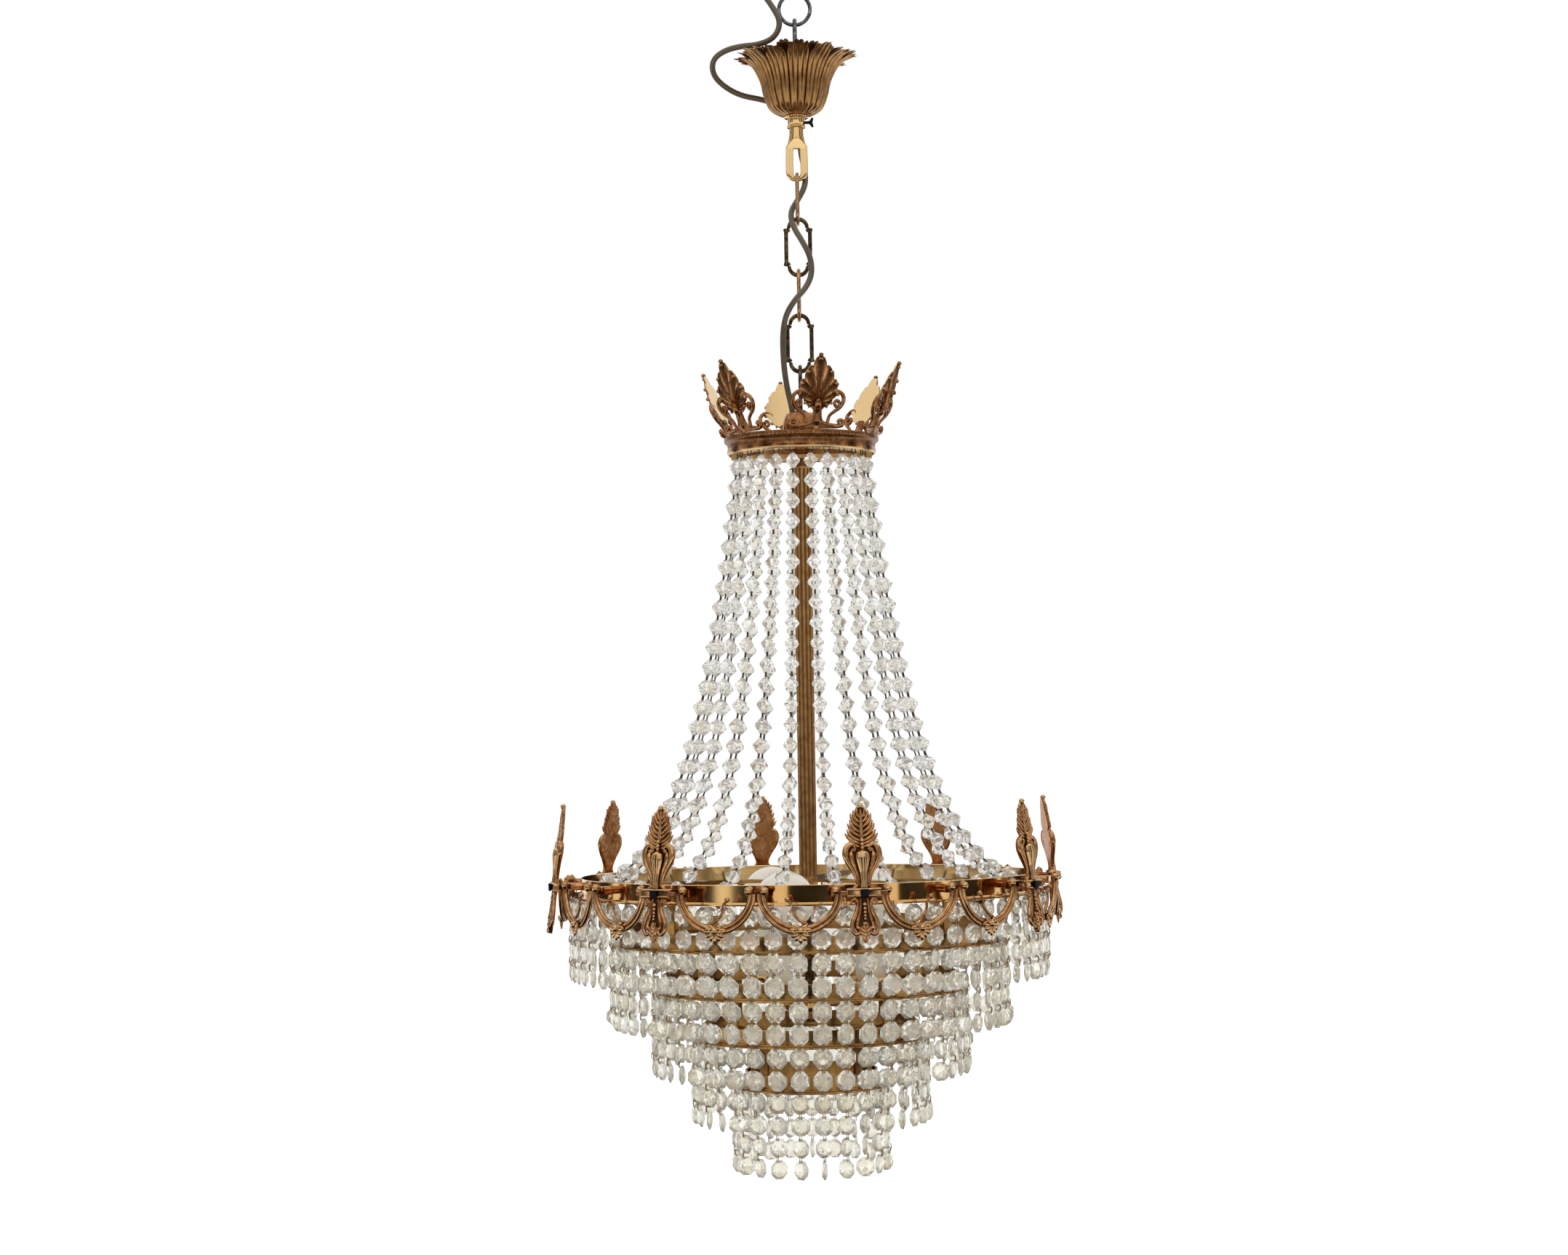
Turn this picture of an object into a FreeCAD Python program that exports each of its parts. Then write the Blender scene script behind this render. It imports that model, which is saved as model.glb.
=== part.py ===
import FreeCAD, Part
import Sketcher
import math
import os

# Crystal basket chandelier. Frame: +Z up, -Y is the front, origin at the seat of the hanging
# ring where a ceiling hook bears. "drop" values are depths below that seat, in millimetres.

Vector = FreeCAD.Vector
doc = FreeCAD.newDocument("crystal_chandelier")
sheet = doc.addObject("Spreadsheet::Sheet", "Sheet")

DIMENSIONS = [
    ("ring_bore", 10.7, "hanging ring: inner radius"),
    ("ring_wire", 3.0, "hanging ring: wire diameter"),
    ("link_wire", 3.4, "chain links: wire diameter"),
    ("link_width", 22.0, "chain links: outer width"),
    ("link_play", 0.2, "gap between two linked wires"),
    ("top_link_length", 40.0, "link between ring and canopy stem"),
    ("plain_link_length", 42.0, "links 1, 3 and 5"),
    ("knob_link_length", 47.4, "links 2 and 4"),
    ("knob_arc", 7.2, "links 2 and 4: mean radius of the end arcs"),
    ("knob_ball", 2.9, "links 2 and 4: ball radius"),
    ("knob_inset", 2.0, "links 2 and 4: balls this far inside the end arcs"),
    ("eye_mean", 6.0, "stem eye and column eye: mean radius"),
    ("stem_radius", 4.0, "canopy stem"),
    ("stem_end", 104.3, "drop of the stem's lower end"),
    ("canopy_rim", 48.6, "drop of the canopy's rim"),
    ("canopy_base", 95.0, "drop of the canopy's underside"),
    ("canopy_wall", 1.4, "canopy sheet thickness"),
    ("canopy_reach", 47.5, "canopy rim radius"),
    ("canopy_leaves", 12, "number of leaves round the canopy"),
    ("slip_fit", 0.3, "radial clearance of sliding pieces"),
    ("lock_nut_gap", 5.0, "canopy travel up to its lock nut"),
    ("lock_nut_flats", 13.0, "lock nut: width across flats"),
    ("lock_nut_height", 4.0, "lock nut: height"),
    ("collar_radius", 6.7, "collar below the canopy"),
    ("screw_drop", 100.0, "drop of the thumb screw's axis"),
    ("screw_radius", 1.2, "thumb screw shank"),
    ("screw_reach", 13.6, "thumb screw tip of the wing"),
    ("stirrup_bottom", 144.6, "drop of the stirrup's bottom wire centre"),
    ("stirrup_mean", 5.7, "stirrup: mean radius of its bottom arc"),
    ("stirrup_bar", 5.4, "stirrup: width of its flat bars"),
    ("stirrup_depth", 3.6, "stirrup: thickness front to back"),
    ("stirrup_window", 118.6, "drop of the top of the stirrup's opening"),
    ("stirrup_shoulder", 7.6, "stirrup neck: radius above the opening"),
    ("stirrup_collar", 5.6, "stirrup neck: radius under the canopy collar"),
    ("stirrup_rest", 3.6, "stirrup: half length of the round wire that bears the chain"),
    ("crown_top", 347.0, "drop of the crown ring's top"),
    ("crown_height", 13.5, "crown ring height"),
    ("crown_lip", 60.0, "crown ring radius at its lip"),
    ("crown_body", 57.5, "crown ring radius at its foot"),
    ("crown_bore", 54.5, "crown ring inner radius"),
    ("crown_flange", 45.0, "crown ring inner flange radius"),
    ("crown_phase", 11.5, "angle of the first crown leaf from the front"),
    ("crown_leaves", 6, "crown palmettes"),
    ("crown_flare", 24.0, "outward lean of the crown palmettes"),
    ("leaf_thick", 2.6, "crown palmette thickness"),
    ("cap_top", 328.2, "drop of the cap's lip"),
    ("cap_radius", 14.5, "cap radius"),
    ("bar_width", 12.0, "crown cross bar width"),
    ("bar_thick", 3.0, "crown cross bar thickness"),
    ("nut_flats", 12.5, "nuts on the rod: width across flats"),
    ("nut_height", 6.0, "nuts on the rod: height"),
    ("rod_radius", 4.0, "central rod"),
    ("rod_end", 798.0, "drop of the central rod's lower end"),
    ("column_radius", 6.9, "column tube outer radius"),
    ("column_bore", 4.6, "column tube inner radius"),
    ("strings", 24, "bead strings between crown and main ring"),
    ("beads", 23, "beads on one string"),
    ("bead_radius", 5.5, "bead: radius at its waist"),
    ("bead_length", 12.0, "bead: length"),
    ("string_pin", 0.6, "bead string: pin radius"),
    ("string_top", 362.0, "drop of the strings' upper end"),
    ("string_top_radius", 50.0, "strings' upper end, from the axis"),
    ("string_foot", 690.0, "drop of the strings' lower end"),
    ("string_foot_radius", 164.0, "strings' lower end, from the axis"),
    ("string_low_point", 172.0, "radius where the hanging curve would be level"),
    ("band_top", 684.6, "drop of the main ring's top"),
    ("band_height", 13.0, "main ring height"),
    ("band_radius", 175.0, "main ring outer radius"),
    ("band_wall", 1.8, "ring sheet thickness"),
    ("flange_thick", 1.5, "flange thickness"),
    ("flange_reach", 9.0, "flange width outside its band"),
    ("flange_inside", 15.0, "flange width inside its band, main ring"),
    ("low_flange_inside", 4.0, "flange width inside its band, lower rings"),
    ("tier_drop", 36.9, "drop from one ring to the next"),
    ("tier_step", 31.0, "radius lost from one ring to the next"),
    ("string_inset", 7.0, "tier strings hang this far outside their band"),
    ("crystal_width", 14.0, "octagonal crystal across flats"),
    ("crystal_thick", 5.0, "octagonal crystal thickness"),
    ("crystal_pitch", 16.2, "octagonal crystal pitch down a string"),
    ("crystal_spacing", 17.0, "spacing of the strings round a ring"),
    ("crystal_rows", 4, "crystals on one tier string"),
    ("wire_width", 2.2, "link wires between crystals, width of the pair"),
    ("crystal_lead", 0.7, "flange to the first crystal"),
    ("strap_width", 8.0, "brackets between the rings"),
    ("strap_lap", 3.0, "lap of a bracket on the main ring's flange"),
    ("spider_drop", 688.0, "drop of the spider's top face"),
    ("spider_thick", 2.5, "spider thickness"),
    ("spider_width", 12.0, "spider arm width"),
    ("spider_hub", 16.0, "spider hub radius"),
    ("spider_phase", 45.0, "angle of the first spider arm from the front"),
    ("cup_top", 709.0, "drop of the turned cup on the rod"),
    ("cup_height", 11.0, "turned cup height"),
    ("cup_radius", 7.0, "turned cup radius"),
    ("lamps", 3, "lamps"),
    ("lamp_phase", -22.3, "angle of the first lamp from the front"),
    ("lamp_circle", 47.4, "lamp axes, from the column"),
    ("bulb_top", 680.0, "drop of the bulbs' tops"),
    ("bulb_radius", 22.5, "bulb globe radius"),
    ("bulb_neck", 10.0, "bulb neck radius"),
    ("screw_cap", 6.7, "bulb screw cap radius"),
    ("socket_top", 730.0, "drop of the lamp holders' mouths"),
    ("socket_height", 38.0, "lamp holder height"),
    ("socket_radius", 9.4, "lamp holder radius"),
    ("socket_bore", 7.1, "lamp holder bore"),
    ("sleeve_radius", 11.6, "candle sleeve radius"),
    ("sleeve_wall", 1.5, "candle sleeve thickness"),
    ("dish_radius", 17.0, "drip dish radius"),
    ("arm_radius", 3.5, "lamp arm tube radius"),
    ("arm_bend", 9.0, "lamp arm bend radius"),
    ("hub_radius", 14.0, "lamp hub radius"),
    ("hub_height", 12.0, "lamp hub height"),
    ("ornaments", 8, "ornaments round the main ring"),
    ("ornament_phase", 11.4, "angle of the first ornament from the front"),
    ("ornament_radius", 196.0, "ornament mid plane at its bolt, from the axis"),
    ("ornament_thick", 4.0, "ornament thickness"),
    ("ornament_lean", 7.0, "ornament lean, foot outwards"),
    ("ornament_drop", 690.0, "drop of the ornament bolts"),
    ("bolt_radius", 1.2, "ornament bolt shank"),
    ("bolt_head", 5.6, "ornament bolt head, square"),
    ("crossbar_reach", 17.0, "ornament crossbar: half length"),
    ("garland_radius", 189.0, "garland plane, from the axis"),
    ("garland_turn", 13.2, "angle from an ornament to the middle of its garland"),
    ("garland_half", 27.7, "garland: half width of its arc"),
    ("garland_ball_half", 25.5, "garland: its end balls, from its middle"),
    ("garland_drop", 688.0, "drop of the garland ends"),
    ("garland_sag", 28.0, "garland depth"),
    ("garland_tube", 2.6, "garland arm radius"),
    ("garland_ball", 3.2, "garland end ball radius"),
    ("garland_boss", 4.4, "garland leaf cluster radius"),
    ("garland_boss_out", 1.8, "leaf cluster in front of the garland plane"),
    ("clip_thick", 1.5, "garland clips: strip thickness"),
    ("clip_height", 5.0, "garland clips: strip height"),
    ("clip_spacer", 3.0, "garland clips: radius of the spacer behind the strip"),
    ("cord_diameter", 4.5, "flexible cord"),
]
for row, (alias, value, note) in enumerate(DIMENSIONS, 1):
    sheet.set(f"A{row}", note)
    sheet.set(f"B{row}", str(value))
    sheet.setAlias(f"B{row}", alias)
doc.recompute()


def size(alias):
    """The number in the sheet's cell."""
    return float(sheet.get(alias))


def bound(words):
    """An expression in plain aliases, with the sheet's name put before each of them."""
    parts = []
    for word in words.split():
        name = word.strip("()-")
        parts.append(word.replace(name, "Sheet." + name) if name.isidentifier() else word)
    return " ".join(parts)


def bind(thing, **properties):
    """Binds an object's properties to expressions; a double underscore stands for a dot."""
    for name, words in properties.items():
        thing.setExpression(name.replace("__", "."), bound(words))


parts = {}


def keep(node, thing):
    """Names the object as a sub-part."""
    thing.Label = node
    parts[node] = thing
    return thing


def feature(node, shape):
    """A sub-part whose shape is worked out from the sheet's values."""
    thing = doc.addObject("Part::Feature", node)
    thing.Shape = shape
    thing.Placement = shape.Placement
    return keep(node, thing)


# --- sketches and turned pieces --------------------------------------------------------------

def outline(body, name, corners, plane="XZ_Plane"):
    """A closed sketch whose corners are pairs of expressions bound to the sheet."""
    sketch = body.newObject("Sketcher::SketchObject", name)
    support = next(f for f in body.Origin.OriginFeatures if f.Role == plane)
    sketch.AttachmentSupport = [(support, "")]
    sketch.MapMode = "FlatFace"
    count = len(corners)
    turn = 2 * math.pi / count
    start = [Vector(50 + 20 * math.cos(i * turn), 20 * math.sin(i * turn), 0) for i in range(count)]
    for i in range(count):
        sketch.addGeometry(Part.LineSegment(start[i], start[(i + 1) % count]))
    for i in range(count):
        sketch.addConstraint(Sketcher.Constraint("Coincident", i, 2, (i + 1) % count, 1))
    for i, corner in enumerate(corners):
        for kind, words, value, axis in (("DistanceX", corner[0], start[i].x, -2),
                                         ("DistanceY", corner[1], start[i].y, -1)):
            if words == "0":
                sketch.addConstraint(Sketcher.Constraint("PointOnObject", i, 1, axis))
                continue
            number = sketch.addConstraint(Sketcher.Constraint(kind, -1, 1, i, 1, value))
            sketch.setExpression(f"Constraints[{number}]", bound(words))
    return sketch


def turned(node, corners):
    """A body turned about Z from an outline of (radius, height) corners."""
    body = doc.addObject("PartDesign::Body", node)
    sketch = outline(body, node + "_section", corners)
    revolution = body.newObject("PartDesign::Revolution", node + "_turn")
    revolution.Profile = sketch
    revolution.ReferenceAxis = (sketch, ["V_Axis"])
    revolution.Angle = 360
    body.Tip = revolution
    return body


def turned_part(node, corners):
    """A turned body that is a sub-part of its own."""
    return keep(node, turned(node, corners))


def padded(node, corners, plane, length):
    """A body padded evenly to both sides of an origin plane."""
    body = doc.addObject("PartDesign::Body", node)
    sketch = outline(body, node + "_section", corners, plane)
    pad = body.newObject("PartDesign::Pad", node + "_pad")
    pad.Profile = sketch
    pad.Midplane = True
    pad.setExpression("Length", bound(length))
    body.Tip = pad
    return keep(node, body)


def hexagon(node, flats, height, drop, bore):
    """A hexagon nut with its bore, top face at the drop."""
    prism = doc.addObject("Part::Prism", node + "_prism")
    prism.Polygon = 6
    bind(prism, Circumradius=flats + " / 1.7320508", Height=height,
         Placement__Base__z=f"-({drop}) - {height}")
    hole = doc.addObject("Part::Cylinder", node + "_hole")
    bind(hole, Radius=bore, Height=height + " * 3", Placement__Base__z=f"-({drop}) - {height} * 2")
    nut = doc.addObject("Part::Cut", node)
    nut.Base, nut.Tool = prism, hole
    return nut


def turn_about_z(shape, degrees):
    """A copy turned about Z; angles run from the front (-Y) towards +X."""
    copy = shape.copy()
    copy.rotate(Vector(), Vector(0, 0, 1), degrees)
    return copy


def around(shape, count, phase):
    """Copies of a shape made at the front, spaced evenly round the axis."""
    return [turn_about_z(shape, phase + 360.0 * i / count) for i in range(count)]


# --- ring, links and eyes --------------------------------------------------------------------

def wire_loop(top, bottom, half_width, radius, side_on):
    """An oval link of round wire: two half rings and two bars. Heights are of wire centres.

    It lies in the XZ plane, or in the YZ plane when side_on.
    """
    circle = Part.Wire(Part.makeCircle(radius, Vector(half_width, 0, bottom + half_width), Vector(0, 0, 1)))
    section = Part.Face(circle)
    bars = top - bottom - 2 * half_width
    low = section.revolve(Vector(0, 0, bottom + half_width), Vector(0, 1, 0), 180)
    high = low.mirror(Vector(0, 0, (top + bottom) / 2), Vector(0, 0, 1))
    right = section.extrude(Vector(0, 0, bars))
    left = right.mirror(Vector(), Vector(1, 0, 0))
    loop = low.multiFuse([high, right, left]).removeSplitter()
    return turn_about_z(loop, 90) if side_on else loop


def knob_link(top, bottom, radius):
    """A cast link: round end arcs, and straight side bars that stand wider between four balls."""
    arc, ball = size("knob_arc"), size("knob_ball")
    side = (size("link_width") - size("link_wire")) / 2
    inset = arc + size("knob_inset")
    knob_high, knob_low = top - inset, bottom + inset
    section = Part.Face(Part.Wire(Part.makeCircle(radius, Vector(arc, 0, bottom + arc), Vector(0, 0, 1))))
    low = section.revolve(Vector(0, 0, bottom + arc), Vector(0, 1, 0), 180)
    pieces = [low.mirror(Vector(0, 0, (top + bottom) / 2), Vector(0, 0, 1))]
    for x in (-side, side):
        pieces.append(Part.makeCylinder(radius, knob_high - knob_low, Vector(x, 0, knob_low)))
        pieces += [Part.makeSphere(ball, Vector(x * 0.92, 0, z)) for z in (knob_high, knob_low)]
    return low.multiFuse(pieces)


ring = doc.addObject("Part::Torus", "hanging_ring")
ring.Placement.Rotation = FreeCAD.Rotation(Vector(1, 0, 0), 90)
bind(ring, Radius1="ring_bore + ring_wire / 2", Radius2="ring_wire / 2",
     Placement__Base__z="-ring_bore")
keep("hanging_ring", ring)

wire = size("link_wire") / 2
seat = 2 * wire + size("link_play")
half_width = size("link_width") / 2 - wire

ring_wire_centre = -2 * size("ring_bore") - size("ring_wire") / 2
top_link_high = ring_wire_centre + size("ring_wire") / 2 + wire + size("link_play")
top_link_low = top_link_high - size("top_link_length") + 2 * wire
feature("top_link", wire_loop(top_link_high, top_link_low, half_width - 1.5, wire, True))

# The stem: a rod below an eye that hangs in the top link, through canopy and collar.
stem_eye_top = top_link_low + seat
stem_eye_centre = stem_eye_top - size("eye_mean")
stem_eye = Part.makeTorus(size("eye_mean"), wire, Vector(0, 0, stem_eye_centre), Vector(0, 1, 0))
stem_rod_top = stem_eye_centre - size("eye_mean") - wire * 0.4
stem_rod = Part.makeCylinder(size("stem_radius"), stem_rod_top + size("stem_end"),
                             Vector(0, 0, -size("stem_end")))
feature("canopy_stem", stem_eye.fuse(stem_rod))

# --- canopy, collar, thumb screw, stirrup ----------------------------------------------------

canopy_profile = [
    ("stem_radius + slip_fit", "-canopy_base + canopy_wall"),
    ("stem_radius + slip_fit", "-canopy_base"),
    ("10", "-canopy_base"),
    ("17.5", "-canopy_base + 3.5"),
    ("21.6", "-canopy_base + 8"),
    ("24.9", "-canopy_base + 17"),
    ("26.8", "-canopy_base + 26"),
    ("30.5", "-canopy_base + 34.5"),
    ("34.8", "-canopy_base + 41.3"),
    ("40.2", "-canopy_base + 45"),
    ("canopy_reach", "-canopy_rim"),
    ("canopy_reach", "-canopy_rim + canopy_wall"),
    ("39.7", "-canopy_base + 45 + canopy_wall"),
    ("33.9", "-canopy_base + 41.9 + canopy_wall / 2"),
    ("29.3", "-canopy_base + 35"),
    ("25.4", "-canopy_base + 26.2"),
    ("23.5", "-canopy_base + 17.4"),
    ("20.4", "-canopy_base + 9"),
    ("16.8", "-canopy_base + 3.5 + canopy_wall"),
    ("10", "-canopy_base + canopy_wall"),
]
canopy = turned_part("leaf_canopy", canopy_profile)
notch = outline(canopy, "leaf_notch", [
    ("canopy_reach + 2", "-4.2"), ("canopy_reach + 2", "4.2"), ("canopy_reach - 12.5", "0")], "XY_Plane")
notch_cut = canopy.newObject("PartDesign::Pocket", "leaf_notches")
notch_cut.Profile = notch
notch_cut.Type = "ThroughAll"
notch_cut.Midplane = True
leaf_pattern = canopy.newObject("PartDesign::PolarPattern", "leaf_pattern")
leaf_pattern.Originals = [notch_cut]
leaf_pattern.Axis = (notch, ["N_Axis"])
leaf_pattern.Angle = 360
leaf_pattern.setExpression("Occurrences", "Sheet.canopy_leaves")
canopy.Tip = leaf_pattern

collar = turned_part("canopy_collar", [
    ("stem_radius + slip_fit", "-canopy_base"),
    ("stem_radius + slip_fit", "-stem_end"),
    ("collar_radius + 0.5", "-stem_end"),
    ("collar_radius + 0.5", "-stem_end + 1.4"),
    ("collar_radius", "-stem_end + 1.8"),
    ("collar_radius", "-canopy_base - 1.6"),
    ("9.6", "-canopy_base - 1.2"),
    ("9.6", "-canopy_base"),
])
screw_hole = outline(collar, "screw_hole", [
    ("-screw_radius - 0.05", "-screw_drop - screw_radius - 0.05"),
    ("screw_radius + 0.05", "-screw_drop - screw_radius - 0.05"),
    ("screw_radius + 0.05", "-screw_drop + screw_radius + 0.05"),
    ("-screw_radius - 0.05", "-screw_drop + screw_radius + 0.05")], "YZ_Plane")
screw_pocket = collar.newObject("PartDesign::Pocket", "screw_hole_cut")
screw_pocket.Profile = screw_hole
screw_pocket.Length = 20
screw_pocket.Reversed = True
collar.Tip = screw_pocket

screw_drop, screw_reach = size("screw_drop"), size("screw_reach")
screw_tip = size("stem_radius") + 0.1
shank = Part.makeCylinder(size("screw_radius"), screw_reach - 2.5 - screw_tip,
                          Vector(screw_tip, 0, -screw_drop), Vector(1, 0, 0))
wing = Part.makeBox(3.0, 1.8, 7.6, Vector(screw_reach - 3.0, -0.9, -screw_drop - 3.8))
feature("collar_screw", shank.fuse(wing))

keep("lock_nut", hexagon("lock_nut", "lock_nut_flats", "lock_nut_height",
                         "canopy_base - canopy_wall - lock_nut_gap - lock_nut_height", "stem_radius"))

# The stirrup: a shouldered neck over a flat-barred loop, with a round bottom wire.
stirrup_low = -size("stirrup_bottom")
stirrup_mean, bar, depth = size("stirrup_mean"), size("stirrup_bar"), size("stirrup_depth")
stirrup_top = -size("stem_end")
outer = stirrup_mean + bar / 2
inner = stirrup_mean - bar / 2
window_top = -size("stirrup_window")
rest = size("stirrup_rest")
arc_centre = stirrup_low + stirrup_mean


def plate(points, thickness):
    """A plate in the XZ plane from outline points, even about y = 0."""
    face = Part.Face(Part.makePolygon([Vector(x, -thickness / 2, z) for x, z in points + points[:1]]))
    return face.extrude(Vector(0, thickness, 0))


neck = Part.makeCone(size("stirrup_shoulder"), size("stirrup_collar"), stirrup_top - window_top,
                     Vector(0, 0, window_top))
bars = plate([(-outer, arc_centre), (outer, arc_centre), (outer - 0.6, window_top + 1),
              (-outer + 0.6, window_top + 1)], depth)
window = plate([(-inner, arc_centre - 1), (inner, arc_centre - 1), (inner, window_top), (-inner, window_top)],
               2 * outer)
half_round = Part.makeCylinder(outer, depth, Vector(0, depth / 2, arc_centre), Vector(0, -1, 0))
half_bore = Part.makeCylinder(inner, 2 * depth, Vector(0, depth, arc_centre), Vector(0, -1, 0))
saddle = half_round.cut(half_bore).common(Part.makeBox(40, 40, 20, Vector(-20, -20, arc_centre - 20)))
# The saddle is thinned to a round wire where the first link bears.
bottom_wire = Part.makeCylinder(depth / 2, 2 * rest, Vector(-rest, 0, stirrup_low), Vector(1, 0, 0))
gap_block = Part.makeBox(2 * rest, 20, 12, Vector(-rest, -10, stirrup_low - 6))
loop = bars.cut(window).fuse([saddle.cut(gap_block), bottom_wire])
feature("stirrup_loop", neck.fuse(loop))

# --- chain -----------------------------------------------------------------------------------

wire_centre = stirrup_low
support_radius = depth / 2
link_bottoms = []
for number in range(1, 6):
    high = wire_centre + support_radius + wire + size("link_play")
    if number % 2:
        low = high - size("plain_link_length") + 2 * wire
        shape = wire_loop(high, low, half_width, wire, True)
    else:
        low = high - size("knob_link_length") + 2 * wire
        shape = knob_link(high, low, wire)
    feature(f"chain_link_{number}", shape)
    link_bottoms.append(low)
    wire_centre, support_radius = low, wire

# --- crown -----------------------------------------------------------------------------------

eye_top = link_bottoms[-1] + seat
eye_centre = eye_top - size("eye_mean")
eye = Part.makeTorus(size("eye_mean"), wire, Vector(0, 0, eye_centre), Vector(0, 1, 0))
rod_top = eye_centre - size("eye_mean") - wire * 0.4
rod = Part.makeCylinder(size("rod_radius"), rod_top + size("rod_end"), Vector(0, 0, -size("rod_end")))
feature("column_eye_rod", eye.fuse(rod))

crown_foot = "-crown_top - crown_height"
turned_part("crown_cap", [
    ("rod_radius", "-cap_top - 14"), ("rod_radius", crown_foot), ("rod_radius + 3", crown_foot),
    ("rod_radius + 3", "-cap_top - 18"), ("cap_radius", "-cap_top - 16"), ("cap_radius", "-cap_top - 11"),
    ("cap_radius - 0.8", "-cap_top - 6"), ("cap_radius - 2.6", "-cap_top - 1.2"),
    ("cap_radius - 3.2", "-cap_top"), ("cap_radius - 3.6", "-cap_top - 1"),
    ("cap_radius - 2.4", "-cap_top - 6.6"), ("cap_radius - 1.6", "-cap_top - 11"),
    ("cap_radius - 2", "-cap_top - 14")])

turned_part("crown_ring", [
    ("crown_bore", "-crown_top"), ("crown_lip", "-crown_top"), ("crown_lip", "-crown_top - 3.8"),
    ("crown_lip - 1.2", "-crown_top - 6"), ("crown_body", "-crown_top - 7.2"),
    ("crown_body", crown_foot + " + 2.4"), ("crown_body - 1", crown_foot),
    ("crown_flange", crown_foot), ("crown_flange", crown_foot + " + 1.5"),
    ("crown_bore", crown_foot + " + 1.5")])


def leaf_plate(right_side, thickness):
    """A plate with an even outline: a smooth curve through (half width, height) points."""
    side = [Vector(x, -thickness / 2, z) for x, z in right_side]
    other = [Vector(-p.x, p.y, p.z) for p in reversed(side)]
    curves = []
    for points in (side, other):
        curve = Part.BSplineCurve()
        curve.interpolate(points)
        curves.append(curve.toShape())
    edges = [curves[0], Part.makeLine(side[-1], other[0]), curves[1], Part.makeLine(other[-1], side[0])]
    return Part.Face(Part.Wire(edges)).extrude(Vector(0, thickness, 0))


def palmette():
    """A crown palmette at the origin: fan leaf, scroll base, side arms, boss and tip ball."""
    thick = size("leaf_thick")
    fan = leaf_plate([(4.2, 10), (5.2, 17), (11.5, 23), (15.8, 30), (13.6, 38), (9.0, 47), (3.2, 56.5)], thick)
    base = leaf_plate([(19.5, 0), (21.5, 3.5), (15.0, 7.0), (5.5, 12)], thick)
    pieces = [base, Part.makeSphere(1.9, Vector(0, 0, 58)),
              Part.makeSphere(3.4, Vector(0, -thick / 2 + 1.2, 18))]
    for side in (-1, 1):
        path = Part.Arc(Vector(side * 12, 0, 25), Vector(side * 20.5, 0, 17), Vector(side * 14.6, 0, 5.2))
        start = Part.Wire(Part.makeCircle(1.25, path.StartPoint, path.tangent(path.FirstParameter)[0]))
        pieces.append(Part.Wire(path.toShape()).makePipeShell([start], True, False))
    return fan.multiFuse(pieces)


leaf = palmette()
leaf.rotate(Vector(), Vector(1, 0, 0), size("crown_flare"))
# The lean tips the plate's back edge down by half its thickness times the sine of the lean.
leaf_lift = size("leaf_thick") / 2 * math.sin(math.radians(size("crown_flare"))) + 0.015
leaf.translate(Vector(0, -size("crown_lip") + size("leaf_thick") + 0.6, -size("crown_top") + leaf_lift))
for number, copy in enumerate(around(leaf, int(size("crown_leaves")), size("crown_phase")), 1):
    feature(f"crown_palmette_{number}", copy)

cross_bar = padded("crown_cross_bar", [
    ("-crown_body + 3", crown_foot), ("-crown_body + 3", crown_foot + " - bar_thick"),
    ("crown_body - 3", crown_foot + " - bar_thick"), ("crown_body - 3", crown_foot)],
    "XZ_Plane", "bar_width")
bar_hole = outline(cross_bar, "bar_hole_section", [
    ("-rod_radius", "-rod_radius"), ("rod_radius", "-rod_radius"),
    ("rod_radius", "rod_radius"), ("-rod_radius", "rod_radius")], "XY_Plane")
bar_pocket = cross_bar.newObject("PartDesign::Pocket", "bar_hole")
bar_pocket.Profile = bar_hole
bar_pocket.Type = "ThroughAll"
bar_pocket.Midplane = True
cross_bar.Tip = bar_pocket

rod_nuts = [hexagon("crown_nut", "nut_flats", "nut_height",
                    "crown_top + crown_height + bar_thick", "rod_radius")]

column_top = "-crown_top - crown_height - bar_thick - nut_height"
turned_part("column_tube", [
    ("column_bore", column_top), ("column_radius", column_top),
    ("column_radius", "-spider_drop"), ("column_bore", "-spider_drop")])

# --- bead strings ----------------------------------------------------------------------------

top_radius, foot_radius = size("string_top_radius"), size("string_foot_radius")
low_point = size("string_low_point")
height = size("string_foot") - size("string_top")


def rise(a):
    """How far a chain of catenary constant a climbs from its lower to its upper end."""
    return a * (math.cosh((low_point - top_radius) / a) - math.cosh((low_point - foot_radius) / a))


# The chain hangs in a catenary; its constant is found by halving, from its two ends.
least, most = 20.0, 120.0
while most - least > 1e-6:
    middle = (least + most) / 2
    if rise(middle) > height:
        least = middle
    else:
        most = middle
catenary = (least + most) / 2
floor = -size("string_foot") - catenary * math.cosh((low_point - foot_radius) / catenary)


def run_at(radius):
    """Length of the chain from its level point to a radius."""
    return catenary * math.sinh((low_point - radius) / catenary)


def string_point(length):
    """The point of the front string this far along the chain from its upper end."""
    left = run_at(top_radius) - length
    across = catenary * math.asinh(left / catenary)
    return Vector(0, -(low_point - across), floor + catenary * math.cosh(across / catenary))


string_length = run_at(top_radius) - run_at(foot_radius)
bead_count = int(size("beads"))
bead_pitch = string_length / bead_count


def bead(centre, direction):
    """A bicone bead: two cones base to base, blunted at the pins."""
    half = size("bead_length") / 2
    narrow = size("string_pin") + 0.5
    up = Part.makeCone(size("bead_radius"), narrow, half, centre, direction)
    down = Part.makeCone(size("bead_radius"), narrow, half, centre, direction * -1)
    return up.fuse(down)


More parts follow.
